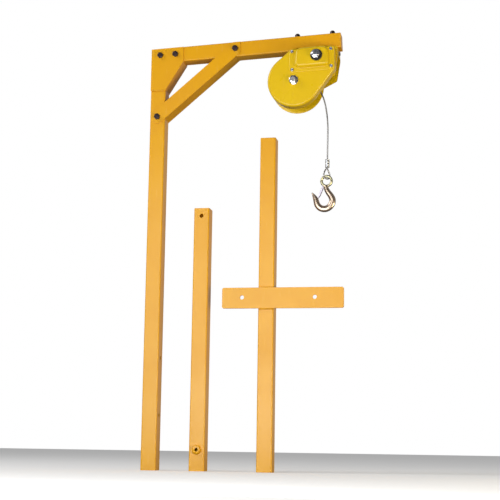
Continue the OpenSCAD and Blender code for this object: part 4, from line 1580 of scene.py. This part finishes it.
@dataclass
class DrumSet(SubAssembly):
    """Drum, its gear, bushes, axle with nuts, and the rope wound on it."""

    axis: Flat = (487.0, -165.5)
    flange_r: float = 86.0
    core_r: float = 28.0
    bore_r: float = 12.0
    front: float = -33.0
    back: float = 21.0
    plate: float = 3.0
    rope_d: float = 5.0
    low_r: float = 56.4
    top_r: float = 62.0
    leave_y: float = -6.0
    axle_r: float = 8.0
    axle_nut_r: float = 13.6
    washer_bore: float = 8.3
    washer_r: float = 15.0
    washer_t: float = 2.5
    seats: tuple[float, float] = (75.0, 30.0)

    def drum(self) -> None:
        """The drum: a core between two flanges with rolled rims."""
        r, p = self.flange_r, self.plate
        rim = [(r - 1.6, 0.0), (r - 0.5, 0.3), (r, 1.0), (r, p - 1.0), (r - 0.5, p - 0.3), (r - 1.6, p)]
        core = self.core_r
        profile = [(self.bore_r, self.front), *((a, self.front + t) for a, t in rim),
                   (core + 4, self.front + p), (core + 1.2, self.front + p + 1), (core, self.front + p + 4),
                   (core, self.back - p - 4), (core + 1.2, self.back - p - 1), (core + 4, self.back - p),
                   *((a, self.back - p + t) for a, t in rim), (self.bore_r, self.back)]
        piece = Turned(BOOM.at(*self.axis), BACKWARDS, 128).hoop("rope_drum", profile)
        self.place(piece, "drum", Slot.WINCH_PAINT, "drum")

    def layer(self, radius: float, turns: float, start_y: float, end_y: float, end: float) -> list[Vector]:
        """A layer's helix.

        Args:
            radius: Radius of the rope's centre line.
            turns: Number of turns.
            start_y: Place of the first turn.
            end_y: Place of the last turn.
            end: Direction of the last point from the axis, in degrees.

        Returns:
            Points of the helix in millimetres.
        """
        centre = BOOM.at(*self.axis)
        count = round(turns * 2 * math.pi * radius / 3.5)
        points = []
        for k in range(count + 1):
            share = k / count
            angle = math.radians(end) + 2 * math.pi * turns * (1 - share)
            y = start_y + (end_y - start_y) * share
            points.append(Vector((centre.x + radius * math.cos(angle), y,
                                  centre.z + radius * math.sin(angle))))
        return points

    def rope(self, winding: RopeWinding) -> None:
        """The two outer layers over a bulk of rope."""
        low = self.layer(self.low_r, 8.4, self.front + 5.6, self.back - 5.7, 200.0)
        top = self.layer(self.top_r, 4.2, self.front + 5.6, self.leave_y, 25.0)
        layers = [winding.wound("layer", path, self.rope_d, Slot.ROPE) for path in (low, top)]
        r, a, b = self.core_r + 0.2, self.front + 3.3, self.back - 3.3
        bulk = Turned(BOOM.at(*self.axis), BACKWARDS, 96).hoop(
            "bulk", [(r, a + 4), (r + 4, a), (self.low_r - 1.4, a), (self.low_r - 1.4, b), (r + 4, b),
                     (r, b - 4)])
        rope = joined("wound_rope", [*layers, bulk])
        smooth(rope.data, 80)
        self.place(rope, "drum", Slot.ROPE, "rope_wound")

    def axle(self) -> None:
        """Axle with threaded ends, washers and nuts."""
        centre = BOOM.at(*self.axis)
        shaft = Turned(centre, BACKWARDS, 32).threaded("axle", self.axle_r, -60, 46, 16, 2.0)
        front = Turned(centre, FORWARDS, 32).threaded("axle_front", self.axle_r, -30, 92, 17, 2.0)
        self.place(joined("drum_spindle", [shaft, front]), "davit", Slot.STEEL, "drum_axle")
        washers, nuts = [], []
        bore, r, t = self.washer_bore, self.washer_r, self.washer_t
        for seat, way in zip(self.seats, (FORWARDS, BACKWARDS)):
            turned = Turned(centre, way, 48)
            rim = [(bore, seat), (r - 0.4, seat), (r, seat + 0.5), (r, seat + t - 0.5),
                   (r - 0.4, seat + t), (bore, seat + t)]
            washers.append(turned.hoop("washer", rim))
            nuts.append(turned.hexagon("nut", self.axle_nut_r, seat + t, seat + 14))
        self.place(joined("axle_washer_pair", washers), "davit", Slot.CHROME, "axle_washers")
        self.place(joined("axle_nut_pair", nuts), "davit", Slot.CHROME, "axle_nuts")

    def build(self, winding: RopeWinding) -> None:
        """Makes the drum's pieces."""
        self.drum()
        self.rope(winding)
        self.axle()
        self.keep(Slot.STEEL, "drum_gear")
        self.keep(Slot.BRONZE, "drum_bushes")


@dataclass
class DriveTrain(SubAssembly):
    """Drive shaft, pinion, brake pack, ratchet, pawl and the hexagon for the drive tool."""

    axis: Flat = (565.081, -90.886)
    front: float = -92.0
    pawl: Flat = (611.081, -92.886)
    hexagon_r: float = 15.6
    hexagon_h: float = 13.0
    coil_r: float = 5.2
    coil_wire: float = 0.45
    coil_turns: int = 4
    coil_start_y: float = -60.4
    coil_length: float = 3.8
    coil_steps: int = 96

    def hexagon(self) -> None:
        """The chromed hexagon with its domed end and collar."""
        turned = Turned(BOOM.at(*self.axis), FORWARDS, 48)
        start = -self.front
        nut = turned.hexagon("hex", self.hexagon_r, start, start + self.hexagon_h)
        dome = turned.solid("dome", [(11.5, start + 12), (11.5, start + 13.4), (11.0, start + 14.4),
                                     (9.4, start + 15.3), (6.5, start + 15.8), (2.5, start + 16.0)])
        collar = turned.solid("collar", [(12.1, start - 2.5), (12.5, start - 2.1), (12.5, start + 0.4)])
        self.place(joined("drive_hexagon", [nut, dome, collar]), "drive", Slot.CHROME, "drive_nut")

    def pawl_coil(self) -> None:
        """The pawl's spring: a small coil on its pin."""
        centre = BOOM.at(*self.pawl)
        whole = 2 * math.pi * self.coil_turns
        line = [Vector((centre.x + self.coil_r * math.cos(a),
                        self.coil_start_y + self.coil_length * a / whole,
                        centre.z + self.coil_r * math.sin(a)))
                for a in (whole * k / self.coil_steps for k in range(self.coil_steps + 1))]
        self.place(coil("pawl_coil", line, self.coil_wire), "davit", Slot.STEEL, "pawl_spring")

    def build(self) -> None:
        """Makes the drive's pieces."""
        self.hexagon()
        self.pawl_coil()
        self.keep(Slot.STEEL, "drive_shaft", "drive_pinion", "ratchet_wheel", "brake_hub",
                  "drive_circlip", "pawl", "pawl_pin")
        self.keep(Slot.LINING, "friction_discs")
        self.keep(Slot.BRONZE, "drive_bushes")


@dataclass
class LooseTube(SubAssembly):
    """The loose extension tube with its welded nut boss."""

    x: float = 159.0
    nut_z: float = 67.5
    nut_r: float = 13.5
    nut_h: float = 9.0
    bore_r: float = 5.25
    face_y: float = -25.4

    def build(self, beads: WeldBead) -> None:
        """Makes the tube, its boss and the weld round the boss."""
        self.place(eased("extension_tube", "loose_tube", 0.5), "extension", Slot.FRAME_PAINT,
                   "extension_tube")
        centre = Vector((self.x, 0, self.nut_z))
        seat, r = -self.face_y, self.nut_r
        turned = Turned(centre, FORWARDS, 48)
        boss = turned.hoop("nut_boss", [
            (self.bore_r, seat), (r, seat), (r, seat + self.nut_h - 1.6), (r - 0.5, seat + self.nut_h - 0.5),
            (r - 1.6, seat + self.nut_h), (self.bore_r + 1.0, seat + self.nut_h),
            (self.bore_r, seat + self.nut_h - 1.0)])
        self.place(boss, "extension", Slot.FRAME_PAINT, "weld_nut")
        ring = [centre + Vector((math.cos(a) * (r + 0.4), self.face_y - 0.4, math.sin(a) * (r + 0.4)))
                for a in (2 * math.pi * k / 32 for k in range(33))]
        self.place(beads.along("boss_weld", [ring], 1.7, Slot.FRAME_PAINT, seed=4), "extension",
                   Slot.FRAME_PAINT)


@dataclass
class CrossPiece(SubAssembly):
    """The loose cross piece: a tall tube with a flat bar welded across its front."""

    x: float = 377.0
    half: float = 25.4
    low: float = 517.5
    high: float = 584.5
    face_y: float = -25.4

    def build(self, beads: WeldBead) -> None:
        """Makes the tube, the bar and their welds."""
        self.place(eased("cross_tube", "cross_upright", 0.5), "cross", Slot.FRAME_PAINT, "cross_tube")
        self.place(eased("cross_bar", "cross_plate", 1.0), "cross", Slot.FRAME_PAINT, "cross_bar")
        reach = self.half - 3.5
        paths = [[Vector((self.x - reach, self.face_y - 1.0, z)),
                  Vector((self.x, self.face_y - 1.2, z)),
                  Vector((self.x + reach, self.face_y - 1.0, z))]
                 for z in (self.low - 1.0, self.high + 1.0)]
        self.place(beads.along("cross_weld_beads", paths, 2.9, Slot.FRAME_PAINT, seed=9), "cross",
                   Slot.FRAME_PAINT, "cross_welds")


def main() -> None:
    """Builds the studio and every sub-assembly in order."""
    logging.basicConfig(level=logging.INFO, format="%(message)s")
    Studio().build()
    beads, repeat, winding = WeldBead(), Repeater(), RopeWinding()
    rope = FreeRope()
    rope.build()
    hook = LoadHook()
    hook.build()
    steel = FrameSteel()
    steel.build(beads)
    fasteners = FrameFasteners()
    fasteners.build(repeat)
    case = GearCase()
    case.build(repeat)
    drum = DrumSet()
    drum.build(winding)
    drive = DriveTrain()
    drive.build()
    tube = LooseTube()
    tube.build(beads)
    cross = CrossPiece()
    cross.build(beads)
    for part in (rope, hook, steel, fasteners, case, drum, drive, tube, cross):
        for name in part.done:
            LOG.info("%s: %s", type(part).__name__, name)


if __name__ == "__main__":
    main()
